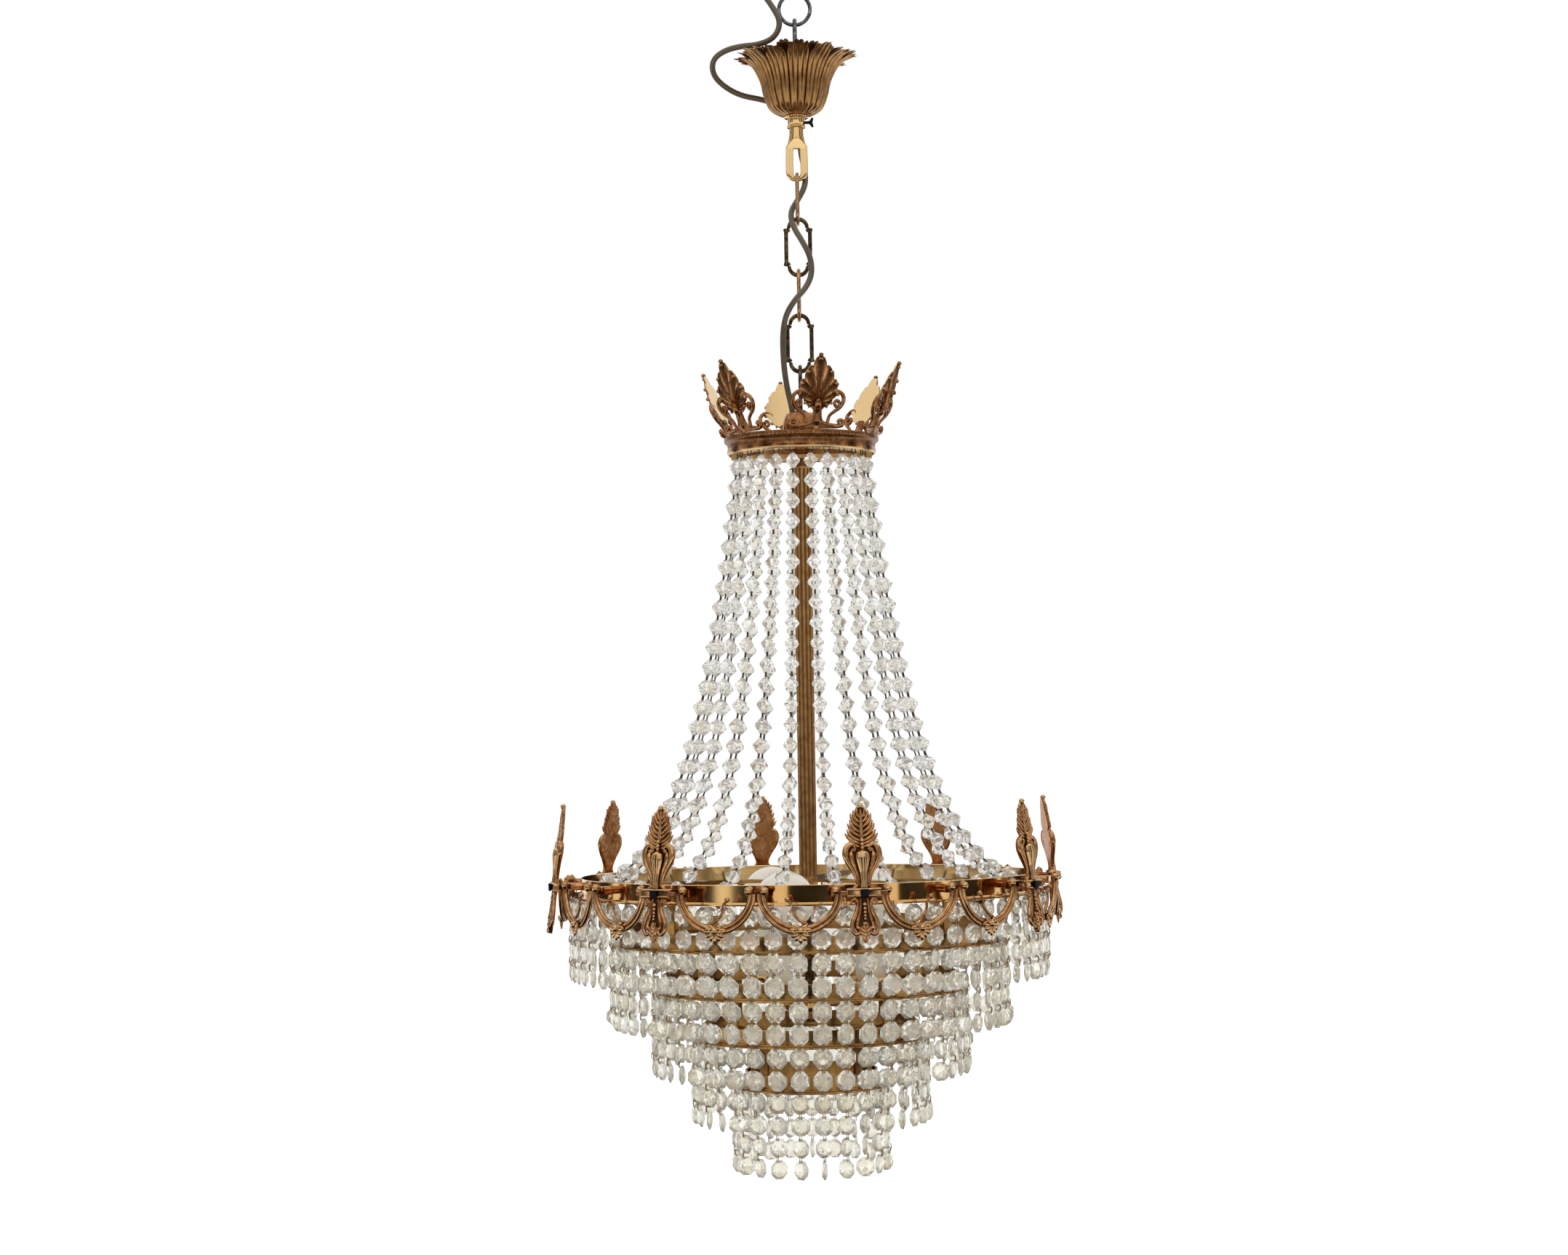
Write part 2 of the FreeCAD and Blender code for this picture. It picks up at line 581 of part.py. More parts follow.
spans = []
SPAN_BEADS = (7, 6, 4, 3, 3)
first = 0
for amount in SPAN_BEADS:
    pieces = []
    for index in range(first, first + amount):
        centre = string_point((index + 0.5) * bead_pitch)
        direction = string_point((index + 0.6) * bead_pitch) - string_point((index + 0.4) * bead_pitch)
        pieces.append(bead(centre, direction))
        if index + 1 < first + amount:
            following = string_point((index + 1.5) * bead_pitch)
            step = following - centre
            pieces.append(Part.makeCylinder(size("string_pin"), step.Length, centre, step))
    spans.append(pieces[0].multiFuse(pieces[1:]) if len(pieces) > 1 else pieces[0])
    first += amount

string_count = int(size("strings"))
string_phase = 360.0 / string_count / 2
feature("bead_strings", Part.Compound([copy for span in spans
                                       for copy in around(span, string_count, string_phase)]))

# Wire pins join the spans to each other, to the crown ring above and to the main ring below.
join_pins = []
edge = size("bead_length") / 2 + 0.05
starts = [0]
for amount in SPAN_BEADS:
    starts.append(starts[-1] + amount)
for index in starts[1:-1]:
    upper = string_point((index - 0.5) * bead_pitch)
    lower = string_point((index + 0.5) * bead_pitch)
    direction = (lower - upper).normalize()
    join_pins.append(Part.makeCylinder(size("string_pin"), (lower - upper).Length - 2 * edge - 0.3,
                                       upper + direction * (edge + 0.15), direction))
first_bead = string_point(0.5 * bead_pitch)
crown_low = -size("crown_top") - size("crown_height")
hook_top = Vector(0, first_bead.y, crown_low)
hook_run = first_bead - hook_top
join_pins.append(Part.makeCylinder(size("string_pin"), hook_run.Length - edge - 0.3, hook_top, hook_run))
last_bead = string_point((bead_count - 0.5) * bead_pitch)
band_foot = -size("band_top") - size("band_height")
hook_foot = Vector(0, -size("string_foot_radius") - 1.0, band_foot)
foot_run = last_bead - hook_foot
foot_gap = size("string_pin")
foot_length = foot_run.Length - edge - 2 * foot_gap
foot_run.normalize()
join_pins.append(Part.makeCylinder(size("string_pin"), foot_length, hook_foot + foot_run * foot_gap, foot_run))
feature("string_hooks", Part.Compound([copy for pin in join_pins
                                       for copy in around(pin, string_count, string_phase)]))

# --- main ring, spider, lower rings, brackets ------------------------------------------------

main_foot = "-band_top - band_height"
turned_part("main_ring", [
    ("band_radius - flange_inside", main_foot + " - flange_thick"),
    ("band_radius + flange_reach", main_foot + " - flange_thick"),
    ("band_radius + flange_reach", main_foot), ("band_radius", main_foot),
    ("band_radius", "-band_top"), ("band_radius - band_wall", "-band_top"),
    ("band_radius - band_wall", main_foot), ("band_radius - flange_inside", main_foot)])

for number in range(2, 6):
    steps = str(number - 1)
    radius = f"band_radius - tier_step * {steps}"
    foot = f"{main_foot} - flange_thick - tier_drop * {steps}"
    turned_part(f"tier_ring_{number}", [
        (radius + " - low_flange_inside", foot), (radius + " + flange_reach", foot),
        (radius + " + flange_reach", foot + " + flange_thick"), (radius, foot + " + flange_thick"),
        (radius, foot + " + band_height"), (radius + " - band_wall", foot + " + band_height"),
        (radius + " - band_wall", foot + " + flange_thick"),
        (radius + " - low_flange_inside", foot + " + flange_thick")])

lamp_count = int(size("lamps"))
hub_radius, spider_thick = size("spider_hub"), size("spider_thick")
spider_top = -size("spider_drop")
hub = Part.makeCylinder(hub_radius, spider_thick, Vector(0, 0, spider_top - spider_thick))
band_inside = size("band_radius") - size("band_wall")
arm = Part.makeBox(size("spider_width"), band_inside - 4, spider_thick,
                   Vector(-size("spider_width") / 2, -band_inside + 0.2, spider_top - spider_thick))
ear = Part.makeBox(size("spider_width"), 2.0, 8.0, Vector(-size("spider_width") / 2, -band_inside + 0.15,
                                                          spider_top - spider_thick - 4))
spider = hub.multiFuse(around(arm.fuse(ear), lamp_count, size("spider_phase")))
spider = spider.cut(Part.makeCylinder(size("rod_radius"), 20, Vector(0, 0, spider_top - 12)))
feature("spider_frame", spider)
rod_nuts.append(hexagon("spider_nut", "nut_flats", "nut_height", "spider_drop + spider_thick", "rod_radius"))

strap, sheet_wall = size("strap_width"), size("flange_thick")
BRACKETS_PER_RING = 4
BRACKET_PHASE = 45
brackets = []
for number in range(1, 5):
    # Each strap laps on the upper ring's inner flange, bends down and stands on the lower ring's edge.
    wall_inside = size("band_radius") - size("tier_step") * (number - 1) - size("band_wall")
    reach = size("band_radius") - size("flange_inside") + size("strap_lap") if number == 1 else wall_inside
    outer_edge = math.sqrt(reach ** 2 - (strap / 2) ** 2) - 0.05
    next_radius = size("band_radius") - size("tier_step") * number
    flange_face = band_foot - size("tier_drop") * (number - 1)
    next_top = band_foot - sheet_wall - size("tier_drop") * number + size("band_height")
    flat = Part.makeBox(strap, outer_edge - next_radius + size("band_wall"), sheet_wall,
                        Vector(-strap / 2, -outer_edge, flange_face))
    drop = Part.makeBox(strap, size("band_wall"), flange_face - next_top,
                        Vector(-strap / 2, -next_radius, next_top))
    brackets += around(flat.fuse(drop), BRACKETS_PER_RING, BRACKET_PHASE)
feature("ring_brackets", Part.Compound(brackets))

# --- crystal tiers ---------------------------------------------------------------------------

width, pitch = size("crystal_width"), size("crystal_pitch")
corner = width / 2 * math.tan(math.pi / 8)
pin_half = size("wire_width") / 2
rows = int(size("crystal_rows"))
for number in range(1, 6):
    hang_radius = size("band_radius") - size("tier_step") * (number - 1) + size("string_inset")
    ring_foot = band_foot - sheet_wall - size("tier_drop") * (number - 1)
    right = [(pin_half, 0.0)]
    for row in range(rows):
        middle = -size("crystal_lead") - width / 2 - pitch * row
        right += [(pin_half, middle + width / 2), (corner, middle + width / 2),
                  (width / 2, middle + corner), (width / 2, middle - corner),
                  (corner, middle - width / 2)]
        if row + 1 < rows:
            right.append((pin_half, middle - width / 2))
    left = [(-x, z) for x, z in reversed(right)]
    string = plate([(x, ring_foot + z) for x, z in right + left], size("crystal_thick"))
    string.translate(Vector(0, -hang_radius, 0))
    amount = round(2 * math.pi * hang_radius / size("crystal_spacing"))
    feature(f"crystal_tier_{number}", Part.Compound(around(string, amount, 180.0 / amount)))

# --- lamps -----------------------------------------------------------------------------------

rod_nuts.append(turned("cup_nut", [
    ("rod_radius", "-cup_top"), ("cup_radius", "-cup_top"), ("cup_radius", "-cup_top - 4"),
    ("cup_radius - 1.5", "-cup_top - cup_height"), ("rod_radius", "-cup_top - cup_height")]))

hub_top = "-socket_top - socket_height - 3 - arm_radius - arm_bend + hub_height / 2"
turned_part("lamp_hub", [
    ("rod_radius", hub_top), ("hub_radius - 3", hub_top), ("hub_radius", hub_top + " - 3"),
    ("hub_radius", hub_top + " - hub_height + 3"), ("hub_radius - 3", hub_top + " - hub_height"),
    ("rod_radius", hub_top + " - hub_height")])

circle = size("lamp_circle")
phase = size("lamp_phase")
socket_foot = -size("socket_top") - size("socket_height")
dish_foot = socket_foot - 3.0
arm_level = dish_foot - size("arm_radius")


def turned_at_lamp(sections):
    """Solids turned about the front lamp's axis from (radius, height) corners."""
    face = Part.Face(Part.makePolygon([Vector(r, 0, z) for r, z in sections + sections[:1]]))
    solid = face.revolve(Vector(), Vector(0, 0, 1), 360)
    solid.translate(Vector(0, -circle, 0))
    return solid


arm_r = size("arm_radius")
bend = size("arm_bend")
horizontal = Part.LineSegment(Vector(0, -size("hub_radius") - 0.05, arm_level - bend),
                              Vector(0, -circle + bend, arm_level - bend))
middle_angle = math.sqrt(0.5)
corner_arc = Part.Arc(Vector(0, -circle + bend, arm_level - bend),
                      Vector(0, -circle + bend * (1 - middle_angle), arm_level - bend * middle_angle),
                      Vector(0, -circle, arm_level))
upright = Part.LineSegment(Vector(0, -circle, arm_level), Vector(0, -circle, dish_foot))
arm_path = Part.Wire([horizontal.toShape(), corner_arc.toShape(), upright.toShape()])
arm_start = Part.Wire(Part.makeCircle(arm_r, horizontal.StartPoint, Vector(0, -1, 0)))
lamp_arm = arm_path.makePipeShell([arm_start], True, False)
feature("lamp_arms", Part.Compound(around(lamp_arm, lamp_count, phase)))

dish = turned_at_lamp([(0, dish_foot), (9, dish_foot), (size("dish_radius"), dish_foot + 5),
                       (size("dish_radius") - 0.6, dish_foot + 6), (9, dish_foot + 1.6),
                       (9, socket_foot), (0, socket_foot)])
feature("drip_dishes", Part.Compound(around(dish, lamp_count, phase)))

socket_top, bore = -size("socket_top"), size("socket_bore")
holder = turned_at_lamp([(0, socket_foot), (size("socket_radius"), socket_foot),
                         (size("socket_radius"), socket_top), (bore, socket_top),
                         (bore, socket_foot + 8), (0, socket_foot + 8)])
feature("lamp_holders", Part.Compound(around(holder, lamp_count, phase)))

sleeve_out = size("sleeve_radius")
sleeve = turned_at_lamp([(sleeve_out - size("sleeve_wall"), dish_foot + 4.2), (sleeve_out, dish_foot + 4.2),
                         (sleeve_out, socket_top + 1), (sleeve_out - size("sleeve_wall"), socket_top + 1)])
feature("candle_sleeves", Part.Compound(around(sleeve, lamp_count, phase)))

globe = size("bulb_radius")
globe_centre = -size("bulb_top") - globe
neck_radius, cap_radius = size("bulb_neck"), size("screw_cap")
neck_level = globe_centre - math.sqrt(globe ** 2 - (neck_radius + 1.5) ** 2)
top_point = Vector(0, 0, -size("bulb_top"))
shoulder_point = Vector(neck_radius + 1.5, 0, neck_level)
side_point = Vector(globe, 0, globe_centre)
profile = [Part.Arc(top_point, side_point, shoulder_point).toShape()]
corners = [shoulder_point, Vector(cap_radius, 0, socket_top + 1.5), Vector(cap_radius, 0, socket_top - 20),
           Vector(3.4, 0, socket_top - 24), Vector(0, 0, socket_top - 24), top_point]
profile += [Part.makeLine(a, b) for a, b in zip(corners, corners[1:])]
bulb = Part.Face(Part.Wire(profile)).revolve(Vector(), Vector(0, 0, 1), 360)
bulb.translate(Vector(0, -circle, 0))
for number, copy in enumerate(around(bulb, lamp_count, phase), 1):
    feature(f"bulb_{number}", copy)

rod_nuts.append(hexagon("end_nut", "nut_flats", "nut_height",
                        "socket_top + socket_height + 3 + arm_radius + arm_bend + hub_height / 2", "rod_radius"))
nut_group = doc.addObject("Part::Compound", "rod_nuts")
nut_group.Links = rod_nuts
keep("rod_nuts", nut_group)

# --- ornaments, bolts, garlands --------------------------------------------------------------

thick = size("ornament_thick")
upper_leaf = leaf_plate([(5.0, 3.0), (5.2, 9), (8.5, 16), (13.2, 25), (13.9, 32), (11.0, 37), (11.6, 42),
                         (8.4, 50), (2.6, 58.5)], thick)
lower_leaf = leaf_plate([(1.2, -35), (4.6, -30), (10.2, -24), (8.0, -17), (4.6, -12), (6.2, -7), (6.0, -3.0)],
                        thick)
cross = plate([(-12.3, -3.5), (12.3, -3.5), (12.3, 3.5), (-12.3, 3.5)], thick)
reach = size("crossbar_reach")
cross = cross.fuse(plate([(-reach, -1.6), (reach, -1.6), (reach, 1.6), (-reach, 1.6)], thick))
bolt_radius = size("bolt_radius")
bolt_hole = Part.makeCylinder(bolt_radius + 0.4, 20, Vector(0, 10, 0), Vector(0, -1, 0))
ornament = upper_leaf.multiFuse([lower_leaf, cross, Part.makeSphere(2.2, Vector(0, 0, 60))]).cut(bolt_hole)
ornament.rotate(Vector(), Vector(1, 0, 0), -size("ornament_lean"))
ornament.translate(Vector(0, -size("ornament_radius"), -size("ornament_drop")))
ornament_count, ornament_phase = int(size("ornaments")), size("ornament_phase")
feature("ring_ornaments", Part.Compound(around(ornament, ornament_count, ornament_phase)))

band_radius = size("band_radius")
head = size("bolt_head")
ornament_front = size("ornament_radius") + thick / 2 + 0.55
bolt = Part.makeCylinder(bolt_radius, ornament_front - band_radius,
                         Vector(0, -band_radius, -size("ornament_drop")), Vector(0, -1, 0))
bolt = bolt.fuse(Part.makeBox(head, 2.4, head, Vector(-head / 2, -ornament_front - 2.4,
                                                      -size("ornament_drop") - head / 2)))
feature("ornament_bolts", Part.Compound(around(bolt, ornament_count, ornament_phase)))

plane_radius, half = size("garland_radius"), size("garland_half")
end_level = -size("garland_drop")
left_end, right_end = Vector(-half, 0, end_level - 2), Vector(half, 0, end_level - 2)
lowest = Vector(0, 0, end_level - size("garland_sag"))
arc = Part.Arc(left_end, lowest, right_end)
section = Part.Wire(Part.makeCircle(size("garland_tube"), left_end, arc.tangent(arc.FirstParameter)[0]))
garland = Part.Wire(arc.toShape()).makePipeShell([section], True, False)
ball_half = size("garland_ball_half")
garland = garland.multiFuse([Part.makeSphere(size("garland_ball"), Vector(-ball_half, 0, end_level)),
                             Part.makeSphere(size("garland_ball"), Vector(ball_half, 0, end_level)),
                             Part.makeSphere(size("garland_boss"), lowest - Vector(0, size("garland_boss_out"), 1)),
                             Part.makeCone(0.8, 2.6, 7, lowest - Vector(0, 0, 11))])
garland.translate(Vector(0, -plane_radius, 0))
turn = size("garland_turn")
feature("garlands", Part.Compound(around(garland, ornament_count, ornament_phase - turn)
                                  + around(garland, ornament_count, ornament_phase + turn)))

# Strips behind the garlands' arms, on spacers: wide ones on the ornament bolts, narrow ones between.
clip_thick, clip_height = size("clip_thick"), size("clip_height")
clip_face = plane_radius - size("garland_tube") - 0.1


def garland_clip(width, drop, clearance):
    """A strip whose front face touches the garlands' arms, on a round spacer from the main ring."""
    strip = Part.makeBox(width, clip_thick, clip_height,
                         Vector(-width / 2, -clip_face, -drop - clip_height / 2))
    spacer = Part.makeCylinder(size("clip_spacer"), clip_face - band_radius - 0.1,
                               Vector(0, -band_radius - 0.1, -drop), Vector(0, -1, 0))
    clip = strip.fuse(spacer)
    if clearance:
        clip = clip.cut(Part.makeCylinder(clearance, 40, Vector(0, -band_radius + 10, -drop), Vector(0, -1, 0)))
    return clip


wide_clip = garland_clip(42, size("ornament_drop"), bolt_radius)
narrow_clip = garland_clip(15, size("ornament_drop"), 0)
feature("garland_clips", Part.Compound(around(wide_clip, ornament_count, ornament_phase)
                                       + around(narrow_clip, ornament_count,
                                                ornament_phase + 180.0 / ornament_count)))

# --- flexible cord ---------------------------------------------------------------------------

# Chosen by hand along the cord: down past the ring, a loop out to the left over the canopy's
# rim, back behind it, behind the stirrup, through link 1, across link 2 and down to the cap.
ROUTE = [
    (-29.5, -2.2, 32.0), (-29.5, -2.2, 20.0), (-26.5, -4.5, 4.0), (-17.5, -7.0, -9.0),
    (-10.5, -8.0, -22.5), (-15.5, -7.5, -34.5), (-28.0, -6.0, -39.5), (-42.5, -3.0, -39.5),
    (-56.0, 1.0, -42.0), (-65.0, 6.0, -48.0), (-65.0, 12.5, -58.0), (-56.0, 20.0, -66.0),
    (-43.0, 27.0, -71.5), (-27.5, 31.0, -73.5), (-12.0, 31.5, -78.5), (-1.5, 27.0, -90.0),
    (2.5, 19.0, -103.0), (3.0, 11.0, -121.5), (6.5, 8.0, -136.5), (6.5, 3.0, -149.0),
    (0.5, 0.0, -160.5), (-6.0, -5.0, -171.5), (-3.5, -10.0, -184.0), (3.5, -10.5, -195.5),
    (9.5, -9.5, -207.5), (10.5, -10.5, -221.0), (5.5, -14.5, -232.5), (-3.5, -16.0, -242.0),
    (-10.5, -12.5, -253.0), (-13.0, -9.5, -266.5), (-13.0, -8.5, -281.0), (-12.3, -7.6, -295.5),
    (-9.8, -7.3, -312.0), (-7.0, -5.2, -323.5), (-5.8, -4.8, -333.2), (-5.8, -4.8, -342.2),
]
# Runs of the route in whose middle one stretch of cord ends and the next begins.
CUT_RUNS = (4, 10, 19, 23, 26, 29, 31)
route = [Vector(*p) for p in ROUTE]
cord_radius = size("cord_diameter") / 2


def cord_edges():
    """Straight runs joined by tangent arcs, in lists that end at each cut."""
    runs = [(b - a).Length for a, b in zip(route, route[1:])]
    stretches, edges, at = [], [], route[0]
    radii = []
    for i in range(1, len(route)):
        towards = (route[i] - route[i - 1]).normalize()
        if i < len(route) - 1:
            onward = (route[i + 1] - route[i]).normalize()
            turn = math.acos(max(-1.0, min(1.0, towards.dot(onward))))
            tangent_length = 0.45 * min(runs[i - 1], runs[i])
            radii.append(tangent_length / math.tan(turn / 2))
            stop = route[i] - towards * tangent_length
        else:
            stop = route[i]
        if i - 1 in CUT_RUNS:
            centre = (at + stop) * 0.5
            edges.append(Part.makeLine(at, centre))
            stretches.append(edges)
            edges, at = [], centre
        edges.append(Part.makeLine(at, stop))
        if i < len(route) - 1:
            leave = route[i] + onward * tangent_length
            inward = (onward - towards).normalize()
            depth_of_arc = radii[-1] * (1 / math.cos(turn / 2) - 1)
            edges.append(Part.Arc(stop, route[i] + inward * depth_of_arc, leave).toShape())
            at = leave
    stretches.append(edges)
    print("cord: arc radii", [round(r, 1) for r in radii])
    return stretches


cord_length = 0.0
for number, edges in enumerate(cord_edges(), 1):
    path = Part.Wire(edges)
    start = edges[0].Vertexes[0].Point
    section = Part.Wire(Part.makeCircle(cord_radius, start, edges[0].Vertexes[1].Point - start))
    tube = path.makePipeShell([section], True, False)
    ideal = math.pi * cord_radius ** 2 * path.Length
    print(f"cord stretch {number}: length {path.Length:.1f}, volume ratio {tube.Volume / ideal:.4f}")
    cord_length += path.Length
    feature(f"cord_stretch_{number}", tube)
print(f"cord: length {cord_length:.1f}")

block = Part.makeBox(18, 13, 11, Vector(route[0].x - 9, route[0].y - 6.5, route[0].z))
screw_heads = [Part.makeCylinder(2.4, 2, Vector(route[0].x + x, route[0].y, route[0].z + 11)) for x in (-4.5, 4.5)]
feature("terminal_block", block.multiFuse(screw_heads))

# --- checks and export -----------------------------------------------------------------------

doc.recompute()
for thing in doc.Objects:
    if "Invalid" in thing.State or "Error" in thing.State:
        raise RuntimeError(f"{thing.Name} failed: {thing.State}")
os.makedirs("parts", exist_ok=True)
if len(parts) > 60:
    raise RuntimeError("more than 60 sub-parts")
for node, thing in parts.items():
    shape = thing.Shape
    if shape.isNull() or not shape.isValid() or not shape.Solids:
        raise RuntimeError(f"{node} has no valid shape")
for node, thing in parts.items():
    thing.Shape.exportStep(os.path.join("parts", node + ".step"))
    box = thing.Shape.BoundBox
    print(f"{node}: {len(thing.Shape.Solids)} solids, {thing.Shape.Volume / 1000:.2f} cm3, "
          f"z {box.ZMin:.1f} to {box.ZMax:.1f}")
print(len(parts), "sub-parts")
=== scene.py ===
import math

import bmesh
import bpy
import numpy as np
from mathutils import Matrix


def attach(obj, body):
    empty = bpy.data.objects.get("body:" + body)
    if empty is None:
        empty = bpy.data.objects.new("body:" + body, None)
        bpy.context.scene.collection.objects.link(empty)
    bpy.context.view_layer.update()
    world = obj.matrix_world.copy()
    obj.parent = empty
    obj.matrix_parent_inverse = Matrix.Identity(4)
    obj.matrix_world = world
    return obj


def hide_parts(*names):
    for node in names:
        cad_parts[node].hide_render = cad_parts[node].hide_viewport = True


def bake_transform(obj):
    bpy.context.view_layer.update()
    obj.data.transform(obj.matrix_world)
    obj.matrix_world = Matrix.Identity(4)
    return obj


# The crystal basket chandelier, dressed. Metres throughout, +Z up, the front is -Y, and the origin
# is the seat of the hanging ring. Sizes are written in millimetres times MM.
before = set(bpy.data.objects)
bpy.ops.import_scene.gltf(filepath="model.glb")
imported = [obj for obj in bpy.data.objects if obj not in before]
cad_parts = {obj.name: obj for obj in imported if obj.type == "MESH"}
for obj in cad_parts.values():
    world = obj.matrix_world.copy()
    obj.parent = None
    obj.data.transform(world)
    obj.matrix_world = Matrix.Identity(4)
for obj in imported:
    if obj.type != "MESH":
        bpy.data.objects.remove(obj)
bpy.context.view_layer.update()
scene = bpy.context.scene
MM = 0.001

# --- Camera ------------------------------------------------------------------------------------
# A long lens two metres in front, level with the bead tent and tipped up a little. The chandelier
# stands right of the picture's middle and leans left at its top, which a small turn and roll give.
CAMERA_BACK, CAMERA_HEIGHT = 2.114, -0.590
CAMERA_LENS = 62.72
CAMERA_TURN, CAMERA_TIP, CAMERA_ROLL = (math.radians(a) for a in (0.426, 2.592, -0.905))

camera_lens = bpy.data.cameras.new("camera")
camera_lens.lens = CAMERA_LENS
camera = bpy.data.objects.new("camera", camera_lens)
scene.collection.objects.link(camera)
camera.matrix_world = (Matrix.Translation((0.0, -CAMERA_BACK, CAMERA_HEIGHT))
                       @ Matrix.Rotation(CAMERA_TURN, 4, "Z")
                       @ Matrix.Rotation(math.pi / 2 + CAMERA_TIP, 4, "X")
                       @ Matrix.Rotation(CAMERA_ROLL, 4, "Z"))
scene.camera = camera


# --- Studio ------------------------------------------------------------------------------------
# White surroundings, a matt white floor a quarter of a metre below the crystals, and three large
# soft boxes. Dark cards stand all round and lie below; only gloss shows them, as dark streaks.
def tone(code):
    """A colour from its sRGB hex code, as linear red, green, blue and alpha."""
    values = [int(code[i:i + 2], 16) / 255 for i in (1, 3, 5)]
    return [v / 12.92 if v <= 0.04045 else ((v + 0.055) / 1.055) ** 2.4 for v in values] + [1.0]


def add(tree, kind, sockets=None, **settings):
    """Adds one node: settings are its own properties, and sockets get a value or a link."""
    node = tree.nodes.new("ShaderNode" + kind)
    for name, value in settings.items():
        setattr(node, name, value)
    for socket, value in (sockets or {}).items():
        if isinstance(value, bpy.types.NodeSocket):
            tree.links.new(value, node.inputs[socket])
        else:
            node.inputs[socket].default_value = value
    return node


def finish_named(name, **sockets):
    """A material with its surface shader's sockets set: returns it with its tree and shader."""
    material = bpy.data.materials.new(name)
    material.use_nodes = True
    tree = material.node_tree
    shader = tree.nodes["Principled BSDF"]
    for socket, value in sockets.items():
        shader.inputs[socket.replace("_", " ")].default_value = value
    return material, tree, shader


def flat_sheet(name, width, depth, place, material):
    """A flat rectangle standing at a place given by a matrix."""
    mesh = bpy.data.meshes.new(name)
    w, d = width / 2, depth / 2
    mesh.from_pydata([(-w, -d, 0), (w, -d, 0), (w, d, 0), (-w, d, 0)], [], [(0, 1, 2, 3)])
    mesh.transform(place)
    mesh.materials.append(material)
    thing = bpy.data.objects.new(name, mesh)
    scene.collection.objects.link(thing)
    return thing


FLOOR_DROP, FLOOR_SIZE = 1.18, 30.0
# Rolled matt paint: plain white, with a little light of its own so that no edge of the floor shows.
white_paint = finish_named("white_studio_paint", Base_Color=tone("#FBFBFA"), Roughness=0.9,
                           Emission_Color=tone("#FFFFFF"), Emission_Strength=0.18)[0]
flat_sheet("floor", FLOOR_SIZE, FLOOR_SIZE, Matrix.Translation((0, 0, -FLOOR_DROP)), white_paint)

# Dyed uncoated card: a warm near-black without shine.
black_card = finish_named("black_card", Base_Color=tone("#15110E"), Roughness=0.95)[0]
CARD_BACK, CARD_GAP, LOW_CARD_SIZE = 2.6, 0.01, 2.0
# Each standing card's angle from the front in degrees, and its width and height in metres.
STANDING_CARDS = [(-88, 0.9, 2.3), (-57, 1.1, 2.3), (-27, 0.9, 1.4), (1, 1.0, 1.4), (29, 0.75, 1.4),
                  (53, 0.9, 2.3), (84, 1.1, 2.3), (125, 1.1, 2.3), (180, 1.3, 1.4), (236, 1.1, 2.3)]


def dark_card(name, width, tall, place):
    """A black sheet that shows in gloss alone: it is never seen, and shades or tints nothing."""
    card = flat_sheet(name, width, tall, place, black_card)
    card.visible_camera = card.visible_diffuse = False
    card.visible_shadow = card.visible_transmission = False


for number, (card_angle, card_width, card_tall) in enumerate(STANDING_CARDS, 1):
    dark_card(f"dark_card_{number}", card_width, card_tall,
              Matrix.Rotation(math.radians(card_angle), 4, "Z")
              @ Matrix.Translation((0, -CARD_BACK, -FLOOR_DROP + CARD_GAP + card_tall / 2))
              @ Matrix.Rotation(math.pi / 2, 4, "X"))
dark_card("dark_card_below", LOW_CARD_SIZE, LOW_CARD_SIZE,
          Matrix.Translation((0, 0, -FLOOR_DROP + CARD_GAP)))

world = bpy.data.worlds.new("white_surroundings")
world.use_nodes = True
world.node_tree.nodes["Background"].inputs["Color"].default_value = tone("#FFFFFF")
world.node_tree.nodes["Background"].inputs["Strength"].default_value = 1.0
scene.world = world
scene.view_settings.view_transform = "Standard"

# Each soft box's name, its power in watts, its side in metres, its place and the point it faces.
SOFT_BOXES = (("soft_box_left", 26, 1.4, (-1.9, -1.5, 0.7), (0, 0, -0.5)),
              ("soft_box_right", 12, 1.2, (2.0, -1.3, -0.1), (0, 0, -0.6)),
              ("soft_box_back", 14, 1.6, (0.6, 2.2, 0.5), (0, 0, -0.5)))
for name, power, width, place, aim in SOFT_BOXES:
    lamp_data = bpy.data.lights.new(name, "AREA")
    lamp_data.energy, lamp_data.size = power, width
    lamp = bpy.data.objects.new(name, lamp_data)
    scene.collection.objects.link(lamp)
    lamp.location = place
    towards = np.subtract(aim, place)
    lamp.rotation_euler = (math.acos(towards[2] / np.linalg.norm(towards)) + math.pi, 0,
                           math.atan2(towards[1], towards[0]) - math.pi / 2)


# --- Flexible cord -----------------------------------------------------------------------------
# A round two-core PVC flex, 4.5 mm thick and olive brown, from the terminal block at the ceiling
# past the canopy's rim, through the chain and into the cap. It is cut where each joint bends it.
def joined(forms):
    """One form from several: the points stacked, each form's faces counted on past those before."""
    points, faces, start = [], [], 0
    for form_points, form_faces in forms:
        points.append(form_points)
        faces += [f + start for f in form_faces]
        start += len(form_points)
    return np.concatenate(points), faces


def grid(points, around_rows=False, around_columns=False):
    """A surface through a (rows, columns, 3) array; either direction can close on itself."""
    rows, columns = points.shape[:2]
    index = np.arange(rows * columns).reshape(rows, columns)
    if around_rows:
        index = np.concatenate([index, index[:1]])
    if around_columns:
        index = np.concatenate([index, index[:, :1]], axis=1)
    quads = np.stack([index[:-1, :-1], index[:-1, 1:], index[1:, 1:], index[1:, :-1]], -1)
    return points.reshape(-1, 3), [quads.reshape(-1, 4)]


